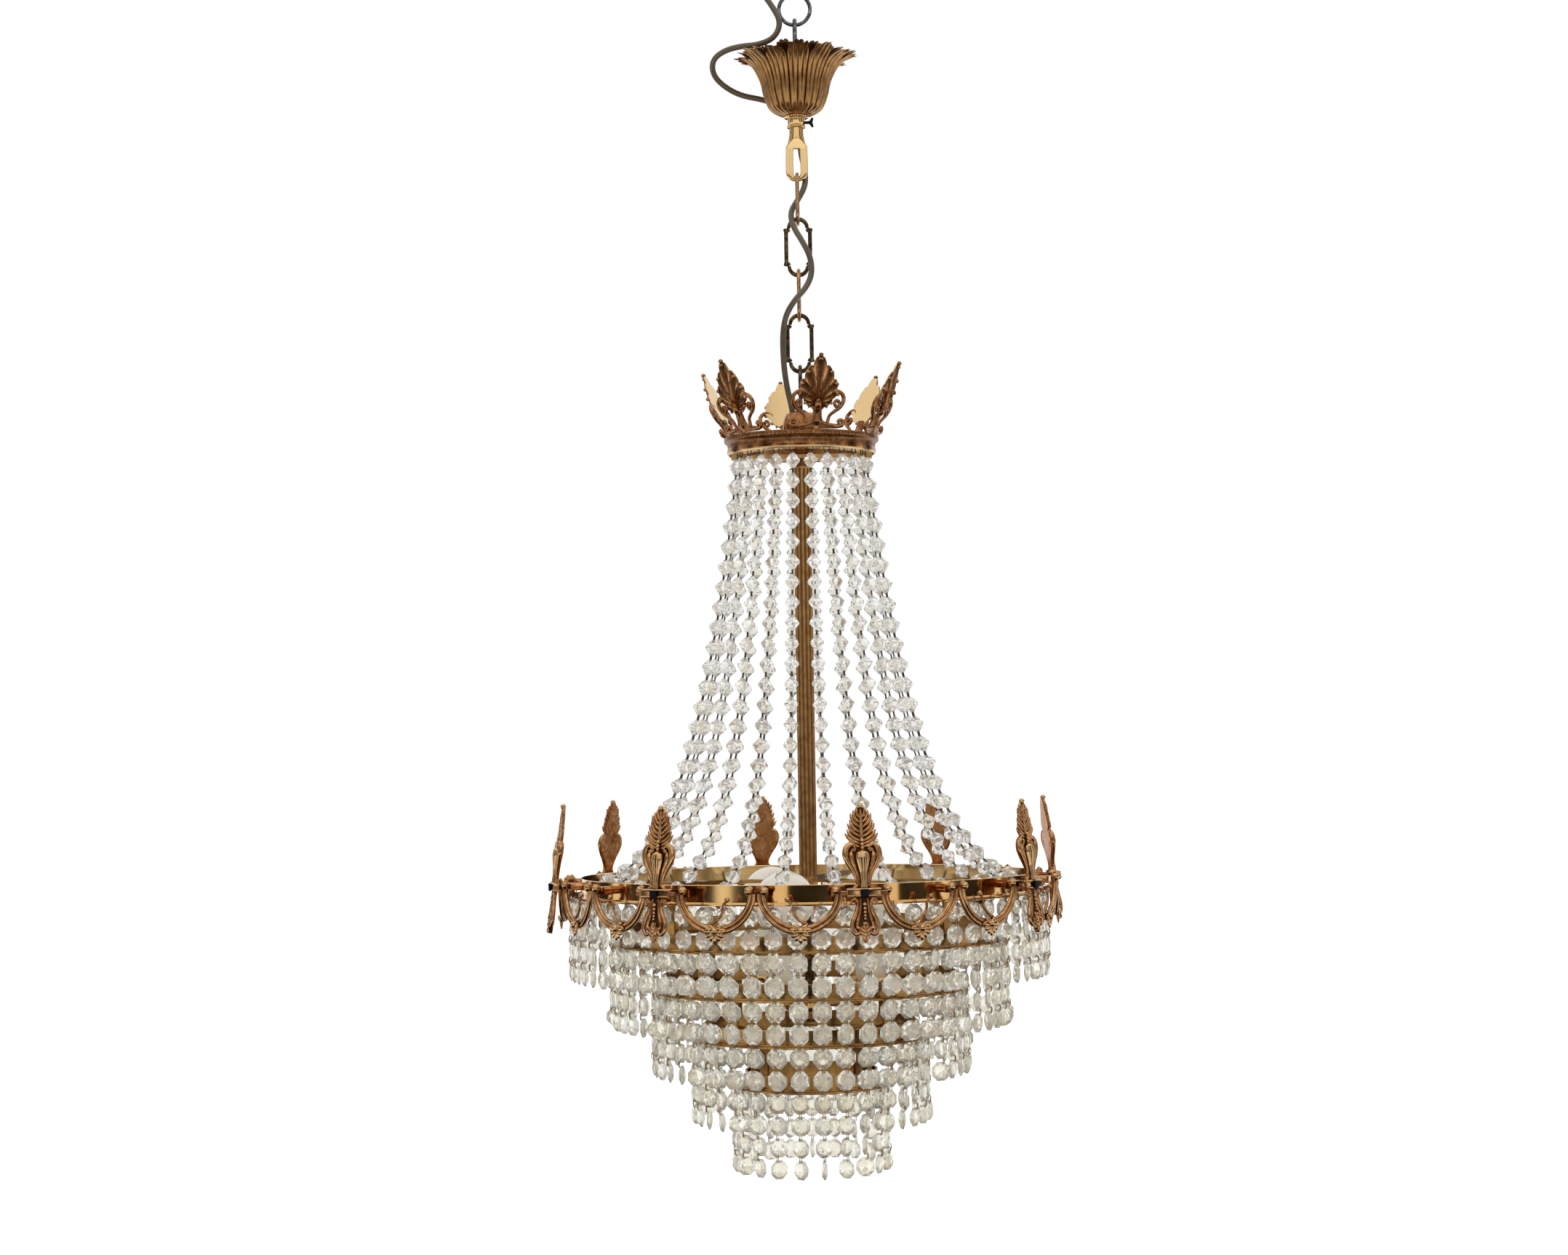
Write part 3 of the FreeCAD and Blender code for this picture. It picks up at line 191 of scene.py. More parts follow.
def capped(points, around_rows=False):
    """A grid whose columns close on themselves, with a flat cap on its first and last row."""
    flat, faces = grid(points, around_rows, True)
    columns = points.shape[1]
    if not around_rows:
        rim = np.arange(columns)[None]
        faces = faces + [rim[:, ::-1], rim + len(flat) - columns]
    return flat, faces


def tube(path, radius, sides=12, across=(0, 1, 0), closed=False, flat=1.0, lobes=0, lobe_depth=0.0):
    """A round section carried along a path, square to it.

    The section's first axis is the path's direction crossed with `across`; `flat` squeezes the
    other axis, and lobes run along the tube as cosine waves round its section.
    """
    path = np.asarray(path, float)
    ahead = np.roll(path, -1, 0) - np.roll(path, 1, 0) if closed else np.gradient(path, axis=0)
    ahead /= np.linalg.norm(ahead, axis=1)[:, None]
    first = np.cross(ahead, across)
    first /= np.linalg.norm(first, axis=1)[:, None]
    second = np.cross(first, ahead)
    turn = np.arange(sides) / sides * 2 * np.pi
    thick = np.broadcast_to(radius, len(path))[:, None] * (1 + lobe_depth * np.cos(lobes * turn))
    points = (path[:, None] + (thick * np.cos(turn))[:, :, None] * first[:, None]
              + (thick * np.sin(turn))[:, :, None] * flat * second[:, None])
    return capped(points, closed)


def make_mesh(name, form, patina=None, flat_faces=False, crease=40):
    """A mesh from a form, its doubled points merged and its faces turned outwards.

    Patina is a value at each point: 1 in a dark groove, 0 where clean, and -1 where brass is bare.
    Some pieces also use it for painted highlights on high parts and for painted shade.
    """
    points, faces = form
    mesh = bpy.data.meshes.new(name)
    mesh.vertices.add(len(points))
    mesh.vertices.foreach_set("co", np.asarray(points, np.float32).ravel())
    corners = np.concatenate([f.ravel() for f in faces])
    sizes = np.concatenate([np.full(len(f), f.shape[1]) for f in faces])
    mesh.loops.add(len(corners))
    mesh.loops.foreach_set("vertex_index", corners.astype(np.int32))
    mesh.polygons.add(len(sizes))
    mesh.polygons.foreach_set("loop_start", (np.cumsum(sizes) - sizes).astype(np.int32))
    mesh.update(calc_edges=True)
    mesh.validate()
    if patina is not None:
        layer = mesh.attributes.new("patina", "FLOAT", "POINT")
        layer.data.foreach_set("value", np.asarray(patina, np.float32).ravel())
    shape = bmesh.new()
    shape.from_mesh(mesh)
    bmesh.ops.remove_doubles(shape, verts=shape.verts, dist=0.002 * MM)
    bmesh.ops.recalc_face_normals(shape, faces=shape.faces)
    shape.to_mesh(mesh)
    shape.free()
    mesh.polygons.foreach_set("use_smooth", np.full(len(mesh.polygons), not flat_faces))
    if not flat_faces:
        mesh.set_sharp_from_angle(angle=math.radians(crease))
    return mesh


def piece(name, form, material, slot, nodes=(), body=None, **looks):
    """One finished piece: mesh, material, the CAD nodes it stands for and the body it rides on."""
    thing = bpy.data.objects.new(name, make_mesh(name, form, **looks))
    scene.collection.objects.link(thing)
    thing.data.materials.append(material)
    if nodes:
        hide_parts(*nodes)
    if body:
        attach(thing, body)
    return thing


# The points that the cord's line is drawn by, one to two centimetres apart, in metres.
ROUTE = [
    (-0.0295, -0.0022, 0.0320), (-0.0295, -0.0022, 0.0200), (-0.0265, -0.0045, 0.0040),
    (-0.0175, -0.0070, -0.0090), (-0.0105, -0.0080, -0.0225), (-0.0155, -0.0075, -0.0345),
    (-0.0280, -0.0060, -0.0395), (-0.0425, -0.0030, -0.0395), (-0.0560, 0.0010, -0.0420),
    (-0.0650, 0.0060, -0.0480), (-0.0650, 0.0125, -0.0580), (-0.0560, 0.0200, -0.0660),
    (-0.0430, 0.0270, -0.0715), (-0.0275, 0.0310, -0.0735), (-0.0120, 0.0315, -0.0785),
    (-0.0015, 0.0270, -0.0900), (0.0025, 0.0190, -0.1030), (0.0030, 0.0110, -0.1215),
    (0.0065, 0.0080, -0.1365), (0.0065, 0.0030, -0.1490), (0.0005, 0.0000, -0.1605),
    (-0.0060, -0.0050, -0.1715), (-0.0035, -0.0100, -0.1840), (0.0035, -0.0105, -0.1955),
    (0.0095, -0.0095, -0.2075), (0.0105, -0.0105, -0.2210), (0.0055, -0.0145, -0.2325),
    (-0.0035, -0.0160, -0.2420), (-0.0105, -0.0125, -0.2530), (-0.0130, -0.0095, -0.2665),
    (-0.0130, -0.0085, -0.2810), (-0.0123, -0.0076, -0.2955), (-0.0098, -0.0073, -0.3120),
    (-0.0070, -0.0052, -0.3235), (-0.0058, -0.0048, -0.3332), (-0.0058, -0.0048, -0.3422),
]
# The cord is cut half way between each of these points and the next.
CUT_RUNS = (4, 10, 19, 23, 26, 29, 31)
CORD_THICK = 4.5 * MM

# Extruded soft PVC: a smooth olive brown with a narrow line of gloss along it. Handling has
# dulled it in patches of about 22 mm, and its skin has a grain of 0.7 mm.
pvc, tree, shader = finish_named("olive_brown_pvc", Roughness=0.24, Specular_IOR_Level=0.55, IOR=1.53)
place = add(tree, "TexCoord").outputs["Object"]
patches = add(tree, "TexNoise", {"Vector": place, "Scale": 45.0, "Detail": 3.0}).outputs["Fac"]
shade = add(tree, "Mix", {0: patches, 6: tone("#3A3022"), 7: tone("#625440")}, data_type="RGBA")
tree.links.new(shade.outputs[2], shader.inputs["Base Color"])
grain = add(tree, "TexNoise", {"Vector": place, "Scale": 1400.0, "Detail": 2.0}).outputs["Fac"]
skin = add(tree, "Bump", {"Height": grain, "Strength": 0.12, "Distance": 0.0002})
tree.links.new(skin.outputs["Normal"], shader.inputs["Normal"])

route_curve = bpy.data.curves.new("cord_line", "CURVE")
route_curve.dimensions = "3D"
route_curve.resolution_u = 14
route_spline = route_curve.splines.new("NURBS")
route_spline.points.add(len(ROUTE) - 1)
route_spline.points.foreach_set("co", np.c_[ROUTE, np.ones(len(ROUTE))].ravel())
route_spline.order_u = 3
route_spline.use_endpoint_u = True
route_holder = bpy.data.objects.new("cord_line", route_curve)
route_mesh = bpy.data.meshes.new_from_object(route_holder)
cord_line = np.array([v.co for v in route_mesh.vertices])
bpy.data.objects.remove(route_holder)

cut_points = [np.add(ROUTE[i], ROUTE[i + 1]) / 2 for i in CUT_RUNS]
cuts = [int(np.linalg.norm(cord_line - p, axis=1).argmin()) for p in cut_points]
cuts = [0] + cuts + [len(cord_line) - 1]
# For each stretch: the bodies it joins, and the heights between which it turns from one to the other.
CORD_JOINTS = [("ceiling_ring", "top_link", 0.004, -0.027), ("top_link", "stem", -0.030, -0.040),
               ("stem", "link_1", -0.112, -0.152), ("link_1", "link_2", -0.158, -0.199),
               ("link_2", "link_3", -0.204, -0.235), ("link_3", "link_4", -0.239, -0.271),
               ("link_4", "link_5", -0.276, -0.301), ("link_5", "basket", -0.306, -0.334)]
for number, (upper, lower, high, low) in enumerate(CORD_JOINTS, 1):
    line = cord_line[cuts[number - 1]:cuts[number] + 1]
    stretch = piece(f"flex_{number}", tube(line, CORD_THICK / 2, 16), pvc, "cord_sheath",
                    [f"cord_stretch_{number}"])
    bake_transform(stretch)

# Moulded plastic: plain off-white with a dull shine.
block_plastic = finish_named("moulded_terminal_plastic", Base_Color=tone("#D9D6CC"), Roughness=0.42)[0]


def dress(material, *nodes):
    """Gives CAD nodes whose shape is right their finish."""
    for node in nodes:
        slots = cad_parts[node].data.materials
        slots.clear()
        slots.append(material)


dress(block_plastic, "terminal_block")


# --- Hanging ring and its link -----------------------------------------------------------------
# A butt-welded ring of 3 mm steel wire, and an oval link below it, both blackened in oil: a dark
# skin that shines grey where the wire has rubbed.
def steel_finish():
    """Oil-blackened steel: dark grey metal, rubbed lighter in patches about 4 mm wide."""
    material, tree, shader = finish_named("oil_blackened_steel", Metallic=1.0, Roughness=0.34)
    place = add(tree, "TexCoord").outputs["Object"]
    wear_and_painted_highlight = add(tree, "TexNoise", {"Vector": place, "Scale": 260.0, "Detail": 4.0}).outputs["Fac"]
    edge = add(tree, "MapRange", {"Value": wear_and_painted_highlight, "From Min": 0.45, "From Max": 0.75}).outputs[0]
    shade = add(tree, "Mix", {0: edge, 6: tone("#565458"), 7: tone("#A8A6AA")}, data_type="RGBA")
    tree.links.new(shade.outputs[2], shader.inputs["Base Color"])
    return material


black_steel = steel_finish()
RING_MEAN, RING_WIRE, LINK_WIRE = 12.2 * MM, 3.0 * MM, 3.4 * MM
turn = np.linspace(0, 2 * np.pi, 72, endpoint=False)
ring_path = np.stack([RING_MEAN * np.sin(turn), 0 * turn,
                      RING_MEAN * np.cos(turn) - RING_MEAN + RING_WIRE / 2], 1)
piece("ceiling_ring_wire", tube(ring_path, RING_WIRE / 2, 16, closed=True), black_steel, "dark_steel",
      ["hanging_ring"], "ceiling_ring")


def oval(high, low, half_width, side_on, steps=20):
    """A closed link path of two half circles and two straights; heights are of wire centres."""
    a = np.linspace(0, np.pi, steps)
    arc_high = np.stack([half_width * np.cos(a), 0 * a, high - half_width + half_width * np.sin(a)], 1)
    arc_low = np.stack([-half_width * np.cos(a), 0 * a, low + half_width - half_width * np.sin(a)], 1)
    path = np.concatenate([arc_high, arc_low])
    return path[:, [1, 0, 2]] if side_on else path


def link_tube(high, low, half_width, side_on, **section):
    """A wire link along an oval path."""
    return tube(oval(high, low, half_width, side_on), LINK_WIRE / 2, 14,
                across=(1, 0, 0) if side_on else (0, 1, 0), closed=True, **section)


UPPER_LINK_HIGH, UPPER_LINK_LOW, UPPER_LINK_HALF = -19.5 * MM, -56.1 * MM, 7.8 * MM
piece("upper_link", link_tube(UPPER_LINK_HIGH, UPPER_LINK_LOW, UPPER_LINK_HALF, True),
      black_steel, "dark_steel", ["top_link"], "top_link")


# --- Brass finishes ----------------------------------------------------------------------------
# Everything below is brass. Castings are gilt, then wiped with a dark wash that stays in their
# grooves, and their high parts are painted paler as highlights; the crown's have darkened. Rings
# and collars are polished, the lower rings carry painted dark reflections as brown clouds, and
# the chain's castings are bronzed.
BARE_BRASS, WASH_ROUGHNESS = "#EBCB94", 0.62


def brass_finish(name, dark, mid, light, roughness, wash="#2A160B", mottle=6.0, wear=0.5, pits=0.0):
    """Brass in three tones: patches `mottle` millimetres wide, and 3 mm flecks of light wear.

    Patina above 0 lays the dark, duller wash over it, and patina below 0 leaves the brass bare; some pieces
    use these values to paint shade and highlights.
    """
    material, tree, shader = finish_named(name, Metallic=1.0, Roughness=roughness)
    place = add(tree, "TexCoord").outputs["Object"]
    patches = add(tree, "TexNoise", {"Vector": place, "Scale": 1.0 / (mottle * MM), "Detail": 3.0,
                                     "Roughness": 0.45}).outputs["Fac"]
    spread = add(tree, "MapRange", {"Value": patches, "From Min": 0.32, "From Max": 0.68}).outputs[0]
    body = add(tree, "Mix", {0: spread, 6: tone(dark), 7: tone(mid)}, data_type="RGBA").outputs[2]
    worn = add(tree, "TexNoise", {"Vector": place, "Scale": 350.0, "Detail": 3.0}).outputs["Fac"]
    high = add(tree, "MapRange", {"Value": worn, "From Min": 0.5, "From Max": 0.75,
                                  "To Max": wear}).outputs[0]
    body = add(tree, "Mix", {0: high, 6: body, 7: tone(light)}, data_type="RGBA").outputs[2]
    wash_and_painted_light = add(tree, "Attribute", attribute_name="patina").outputs["Fac"]
    bare = add(tree, "Math", {0: wash_and_painted_light, 1: -1.0}, operation="MULTIPLY", use_clamp=True).outputs[0]
    body = add(tree, "Mix", {0: bare, 6: body, 7: tone(BARE_BRASS)}, data_type="RGBA").outputs[2]
    groove = add(tree, "Math", {0: wash_and_painted_light, 1: 1.0}, operation="MULTIPLY", use_clamp=True).outputs[0]
    body = add(tree, "Mix", {0: groove, 6: body, 7: tone(wash)}, data_type="RGBA").outputs[2]
    tree.links.new(body, shader.inputs["Base Color"])
    dull = add(tree, "MapRange", {"Value": groove, "To Min": roughness, "To Max": WASH_ROUGHNESS}).outputs[0]
    smear = add(tree, "Math", {0: spread, 1: 0.08}, operation="MULTIPLY").outputs[0]
    uneven = add(tree, "Math", {0: dull, 1: smear}, operation="ADD").outputs[0]
    tree.links.new(uneven, shader.inputs["Roughness"])
    # A casting keeps the sand's fine pits, which sheet and turned pieces lack.
    if pits:
        pitted = add(tree, "Bump", {"Height": worn, "Strength": pits, "Distance": 0.0002})
        tree.links.new(pitted.outputs["Normal"], shader.inputs["Normal"])
    return material


# Sand-cast and gilt: a warm rose gold, almost black in its grooves; its high parts are painted paler as
# highlights.
cast_brass = brass_finish("gilt_cast_brass_with_wash_and_painted_highlights", "#A46A3C", "#CC9662", "#F8DAAE", 0.15, pits=0.03)
# The crown's castings: the same work, browner and duller with age.
crown_brass = brass_finish("darkened_cast_brass", "#865430", "#AE7849", "#E2B88A", 0.2, pits=0.03)
# Pressed and gilt sheet: a softer, browner gold with little wear.
leaf_brass = brass_finish("gilt_sheet_brass_leaves", "#A07244", "#C69860", "#E6C48E", 0.3,
                          wash="#3A200F", wear=0.1)
# Turned and lacquered: an even pale yellow with clear reflections.
bright_brass = brass_finish("polished_lacquered_brass", "#E2B272", "#EEC88C", "#F8E2B4", 0.12,
                            mottle=30, wear=0.1)
# Rolled and polished: almost a mirror, so that it shows the dark cards as streaks.
ring_brass = brass_finish("polished_ring_brass", "#CFA062", "#DDB478", "#EED09A", 0.07, mottle=40, wear=0.1)
# Polished, with painted reflections: brown clouds about 28 mm wide on the same yellow stand in for the dark
# room that it mirrors.
low_ring_brass = brass_finish("ring_brass_with_painted_reflections", "#6E5030", "#C09458", "#E6C48C", 0.12,
                              mottle=28, wear=0.15)
# Cast and left bare: pale and nearly matt.
back_brass = brass_finish("bare_cast_brass", "#DCB47A", "#EBCB94", "#F7E2B8", 0.35, mottle=5, wear=0.2)
# Cast and bronzed: a dark olive brown, with brass showing where the links have rubbed.
chain_bronze = brass_finish("bronzed_chain_brass", "#3A2C1C", "#57452E", "#A88C60", 0.34, mottle=4, wear=0.6)
# Bent from wire and gilt: a pale gold with soft reflections.
chain_gilt = brass_finish("gilt_chain_brass", "#A87C50", "#D0A880", "#F2D8B4", 0.24, mottle=8, wear=0.4)


# --- Canopy ------------------------------------------------------------------------------------
# A cup of two layers of pressed brass leaves, twelve in each, ribbed lengthwise. Their tips are
# split into fingers and curled out unevenly. It slides on the stem and rests on a collar.
def rounded(points, count):
    """A smooth line through points: cubic pieces whose slopes come from the neighbours."""
    points = np.asarray(points, float)
    before = np.concatenate([2 * points[:1] - points[1:2], points[:-1]])
    after = np.concatenate([points[1:], 2 * points[-1:] - points[-2:-1]])
    slope = (after - before) / 2
    place = np.linspace(0, len(points) - 1, count)
    i = np.minimum(place.astype(int), len(points) - 2)
    t = (place - i)[:, None]
    a, b, p, q = points[i], points[i + 1], slope[i], slope[i + 1]
    return ((2 * t ** 3 - 3 * t ** 2 + 1) * a + (t ** 3 - 2 * t ** 2 + t) * p
            + (3 * t ** 2 - 2 * t ** 3) * b + (t ** 3 - t ** 2) * q)


def turned_to(form, degrees):
    """A form turned about the hanging axis, from the front towards the right."""
    c, s = math.cos(math.radians(degrees)), math.sin(math.radians(degrees))
    return form[0] @ np.array([[c, s, 0], [-s, c, 0], [0, 0, 1]]), form[1]


def ramp(value, start, length):
    """0 up to start, then rising evenly to 1 over length, and 1 beyond it."""
    return np.clip((value - start) / length, 0, 1)


CANOPY_LINE = np.array([(4.3, -95.0), (10, -95.0), (17.5, -91.5), (21.6, -87.0), (24.9, -78.0), (26.8, -69.0),
                        (30.5, -60.5), (35.2, -53.7), (41.5, -49.4), (49.0, -47.6)]) * MM
CANOPY_LEAVES, LEAF_RIBS, LEAF_ROWS, LEAF_COLUMNS = 12, 4, 44, 41
# The sheet's thickness, how far a leaf passes its share of the round, and the turn of the cup.
LEAF_SHEET, LEAF_OVERLAP, LEAF_TURN = 0.7 * MM, 1.02, 4
chance = np.random.default_rng(7)


def canopy_leaf(shrink, start, tip_out, tip_up, ragged, painted_shade_behind):
    """One leaf on a grid: across its width and up the cup's line, from `start` of its length.

    Two wide ribs across its foot part into four, all rounded with sharp grooves between. Its edges
    draw in above the shoulder; each rib ends in a finger, curled out by tip_out and up by tip_up.
    """
    across = np.linspace(-1, 1, LEAF_COLUMNS)[None]
    up = np.linspace(start, 1, LEAF_ROWS)[:, None]
    parting = ramp(up, 0.3, 0.3)
    wave = (2 * (1 - parting) * np.abs(np.sin(np.pi * LEAF_RIBS / 4 * across)) ** 0.7
            + 2 * parting * np.abs(np.sin(np.pi * LEAF_RIBS / 2 * across)) ** 0.7 - 1)
    # Each finger has a length of its own, and is longest on its crest and at the leaf's middle.
    finger = chance.uniform(-ragged, ragged, LEAF_RIBS)
    own = finger[np.clip(((across + 1) / 2 * LEAF_RIBS).astype(int), 0, LEAF_RIBS - 1)]
    off_crest = np.abs(((across + 1) / 2 * LEAF_RIBS) % 1.0 - 0.5) * 2
    reach = (1 - 0.035 * off_crest ** 3 - 0.1 * across ** 2 - np.abs(own)) * np.ones_like(up)
    along = up * np.where(up > 0.8, 1 + (reach - 1) * (up - 0.8) / 0.2, 1)
    line = rounded(CANOPY_LINE, 200)
    radius = np.interp(along, np.linspace(0, 1, 200), line[:, 0])
    height = np.interp(along, np.linspace(0, 1, 200), line[:, 1])
    # The edges draw in above the shoulder, the ribs fade in from the foot, and the tip curls.
    narrow = 1 - 0.34 * ramp(up, 0.72, 0.28) ** 1.2
    angle = np.radians(180 / CANOPY_LEAVES) * across * narrow * LEAF_OVERLAP
    depth = ramp(up, 0.12, 0.15) * (0.75 - 0.45 * ramp(up, 0.5, 0.5)) * MM
    bow = -0.8 * MM * across ** 2 * ramp(up, 0.15, 0.3)
    curl = ramp(up, 0.82, 0.18) ** 2
    radius = radius + depth * wave + bow - shrink + curl * (tip_out + own * 40 * MM)
    height = height + curl * (tip_up - own * 60 * MM)
    face = np.stack([radius * np.sin(angle), -radius * np.cos(angle),
                     height * np.ones_like(radius)], -1)
    inside = face.copy()
    inside[..., :2] *= (1 - LEAF_SHEET / np.maximum(radius, 1e-4))[..., None]
    # The wash is darkest in the grooves and along the edges; the inner layer's leaves are darkened
    # down their middle, behind the outer layer's leaves, as painted shade.
    dark = np.clip(0.42 - 0.55 * wave + np.clip(np.abs(across) - 0.86, 0, 1) * 6, 0, 1) ** 1.6
    dark = dark * ramp(up, 0.1, 0.2) * (1 - 0.4 * ramp(up, 0.6, 0.3))
    dark = dark + painted_shade_behind * np.clip(1 - 2 * np.abs(across), 0, 1) * np.clip((0.97 - up) / 0.05, 0, 1)
    shell = np.concatenate([face, inside[:, ::-1]], axis=1)
    wash_and_painted_light = np.concatenate([dark, dark[:, ::-1] * 0 + 0.35], axis=1)
    return capped(shell), wash_and_painted_light


leaves, leaf_wash_and_shade = [], []
# The outer layer, and an inner one that starts half way up and shows between its leaves, its middle darkened
# as painted shade.
for layer, (shrink, start, phase) in enumerate([(0.0, 0.0, 0.0), (1.1 * MM, 0.45, 15.0)]):
    for number in range(CANOPY_LEAVES):
        leaf, wash_and_painted_light = canopy_leaf(shrink, start, tip_out=chance.uniform(-1.0, 1.0) * MM,
                                  tip_up=chance.uniform(-2.0, 1.2) * MM + layer * MM,
                                  ragged=0.015, painted_shade_behind=1.6 * layer)
        leaves.append(turned_to(leaf, phase + 360 / CANOPY_LEAVES * number + LEAF_TURN))
        leaf_wash_and_shade.append(wash_and_painted_light.ravel())
piece("canopy_leaves", joined(leaves), leaf_brass, "antique_brass", ["leaf_canopy"], "canopy",
      patina=np.concatenate(leaf_wash_and_shade), crease=60)


def turned(outline, sides=64, waves=0, depths=0.0, closed=False):
    """A surface turned about the axis from (radius, height) points; waves run up it as flutes."""
    outline = np.asarray(outline, float)
    turn = np.arange(sides) / sides * 2 * np.pi
    radius = outline[:, 0, None] + np.reshape(depths, (-1, 1)) * np.cos(waves * turn)
    points = np.stack([radius * np.sin(turn), -radius * np.cos(turn),
                       outline[:, 1, None] * np.ones_like(radius)], -1)
    return grid(points, closed, True)


# The collar is a turned ring with a shoulder at its top and a bead at its foot.
COLLAR_LINE = np.array([(4.3, -95.1), (9.2, -95.1), (9.6, -95.4), (9.6, -96.0), (9.2, -96.5),
                        (6.9, -96.9), (6.7, -97.3), (6.7, -102.3), (6.9, -102.6), (7.2, -102.9),
                        (7.2, -103.9), (6.9, -104.2), (4.3, -104.2)]) * MM
piece("collar", turned(COLLAR_LINE, 72, closed=True), bright_brass, "polished_brass",
      ["canopy_collar"], "canopy", crease=50)
dress(bright_brass, "canopy_stem", "lock_nut")

# The thumb screw: a black shank with two rounded wings that spread towards the tip. The wing's
# outline draws in towards its middle at both faces, which rounds its edges.
SCREW_DROP, WING_MIDDLE = -100.0 * MM, 11.8 * MM
shank_path = np.array([(x, 0, SCREW_DROP) for x in np.array([4.2, 6.0, 9.0, 10.8]) * MM])
shank = tube(shank_path, np.array([1.15, 1.15, 1.15, 1.5]) * MM, 14, across=(0, 1, 0))
wing_line = rounded([(9.6, 0), (10.6, 1.5), (11.6, 3.2), (12.7, 3.9), (13.5, 3.0), (13.1, 1.2),
                     (12.6, 0)], 24)
wing_x, wing_z = (np.concatenate([wing_line, wing_line[-2:0:-1] * [1, -1]]) * MM).T
wing_rows = [np.stack([WING_MIDDLE + (wing_x - WING_MIDDLE) * scale, 0 * wing_x + y * MM,
                       SCREW_DROP + wing_z * scale], 1)
             for y, scale in ((-0.9, 0.86), (-0.75, 0.97), (0, 1.0), (0.75, 0.97), (0.9, 0.86))]
# Steel blackened in an oxide bath: blue-black with a soft shine.
black_screw = finish_named("black_oxide_steel", Base_Color=tone("#1C1C20"), Metallic=0.9,
                           Roughness=0.38)[0]
piece("thumb_screw", joined([shank, capped(np.array(wing_rows))]), black_screw, "black_screw",
      ["collar_screw"], "thumb_screw")


# --- Stirrup -----------------------------------------------------------------------------------
# A brass casting screwed to the stem's end: a round neck that spreads into two flat bars, joined
# below by a round wire on which the chain bears. Pale and polished; its sloped faces are painted
# paler as a highlight.
def stirrup_neck():
    """A round neck that widens sideways, with a plane cut into its front and its back.

    Each cut starts part way down and comes in evenly, so its outline is an arch, and patina paints
    it paler, as bare brass, for a painted highlight. Heights and half widths are in millimetres.
    """
    level = np.concatenate([np.linspace(-104.4, -112.4, 6), np.linspace(-112.9, -120.4, 26)])[:, None]
    turn = np.arange(64) / 64 * 2 * np.pi
    neck_radius = 5.5
    wide = neck_radius + 2.5 * np.clip((-108 - level) / 11, 0, 1) ** 1.7
    half_depth = np.where(level > -112.7, 6.0, neck_radius + (level + 112.9) * 3.8 / 7.5)
    x, y = wide * np.cos(turn), neck_radius * np.sin(turn) + 0 * level
    cut = np.abs(y) > half_depth
    y = np.clip(y, -half_depth, half_depth)
    return capped(np.stack([x, y, level + 0 * x], -1) * MM), np.where(cut, -0.8, 0.0)


def flat_bar(path, widths, depths, rounds):
    """A flat bar along a path in the XZ plane, with its own width and depth at each point.

    Its section's corners go from nearly square where `rounds` is 0.25 to fully round where it is 1.
    """
    path = np.asarray(path, float)
    ahead = np.gradient(path, axis=0)
    ahead /= np.linalg.norm(ahead, axis=1)[:, None]
    side = np.cross(ahead, (0, 1, 0))
    turn = np.arange(20) / 20 * 2 * np.pi
    x = np.sign(np.cos(turn)) * np.abs(np.cos(turn)) ** np.asarray(rounds)[:, None]
    y = np.sign(np.sin(turn)) * np.abs(np.sin(turn)) ** np.asarray(rounds)[:, None]
    points = (path[:, None] + (np.asarray(widths)[:, None] / 2 * x)[..., None] * side[:, None]
              + (np.asarray(depths)[:, None] / 2 * y)[..., None] * np.array([0, 1, 0]))
    return capped(points)


bar_angle = np.linspace(0, np.pi, 25)
STIRRUP_MEAN, STIRRUP_ARC = 5.7 * MM, -138.9 * MM
bar_low = np.stack([STIRRUP_MEAN * np.cos(bar_angle), 0 * bar_angle,
                    STIRRUP_ARC - STIRRUP_MEAN * np.sin(bar_angle)], 1)
bar_right = np.array([(5.3, 0, -118.5), (5.5, 0, -121.0), (5.7, 0, -130.0)]) * MM
bar_path = np.concatenate([bar_right, bar_low, bar_right[::-1] * [-1, 1, 1]])
# The bars thin from 5.8 by 3.5 mm to a round wire of 3.5 mm under the arc, where the chain bears.
thin = np.concatenate([np.zeros(3), np.sin(bar_angle) ** 2, np.zeros(3)])
stirrup_bar = flat_bar(bar_path, (5.8 - 2.3 * thin) * MM, (3.5 - 0.1 * thin) * MM, 0.25 + 0.75 * thin)
neck, neck_painted_highlight = stirrup_neck()
piece("stirrup", joined([neck, stirrup_bar]), bright_brass, "polished_brass", ["stirrup_loop"], "stem",
      patina=np.concatenate([neck_painted_highlight.ravel(), np.full(len(stirrup_bar[0]), -0.6)]), crease=25)


# --- Chain -------------------------------------------------------------------------------------
# Five links: plain gilt ovals seen edge-on, and between them bronzed castings with straight side
# bars, flared at their ends, and a small round arch above and below. The lowest oval is bronzed.
LINK_HALF = 9.3 * MM
for number, high, low in ((1, -140.9, -179.5), (3, -216.3, -254.9), (5, -291.7, -330.3)):
    piece(f"oval_link_{number}", link_tube(high * MM, low * MM, LINK_HALF, True, flat=0.9),
          chain_gilt if number < 5 else chain_bronze, "polished_brass" if number < 5 else "dark_bronze",
          [f"chain_link_{number}"], f"link_{number}")


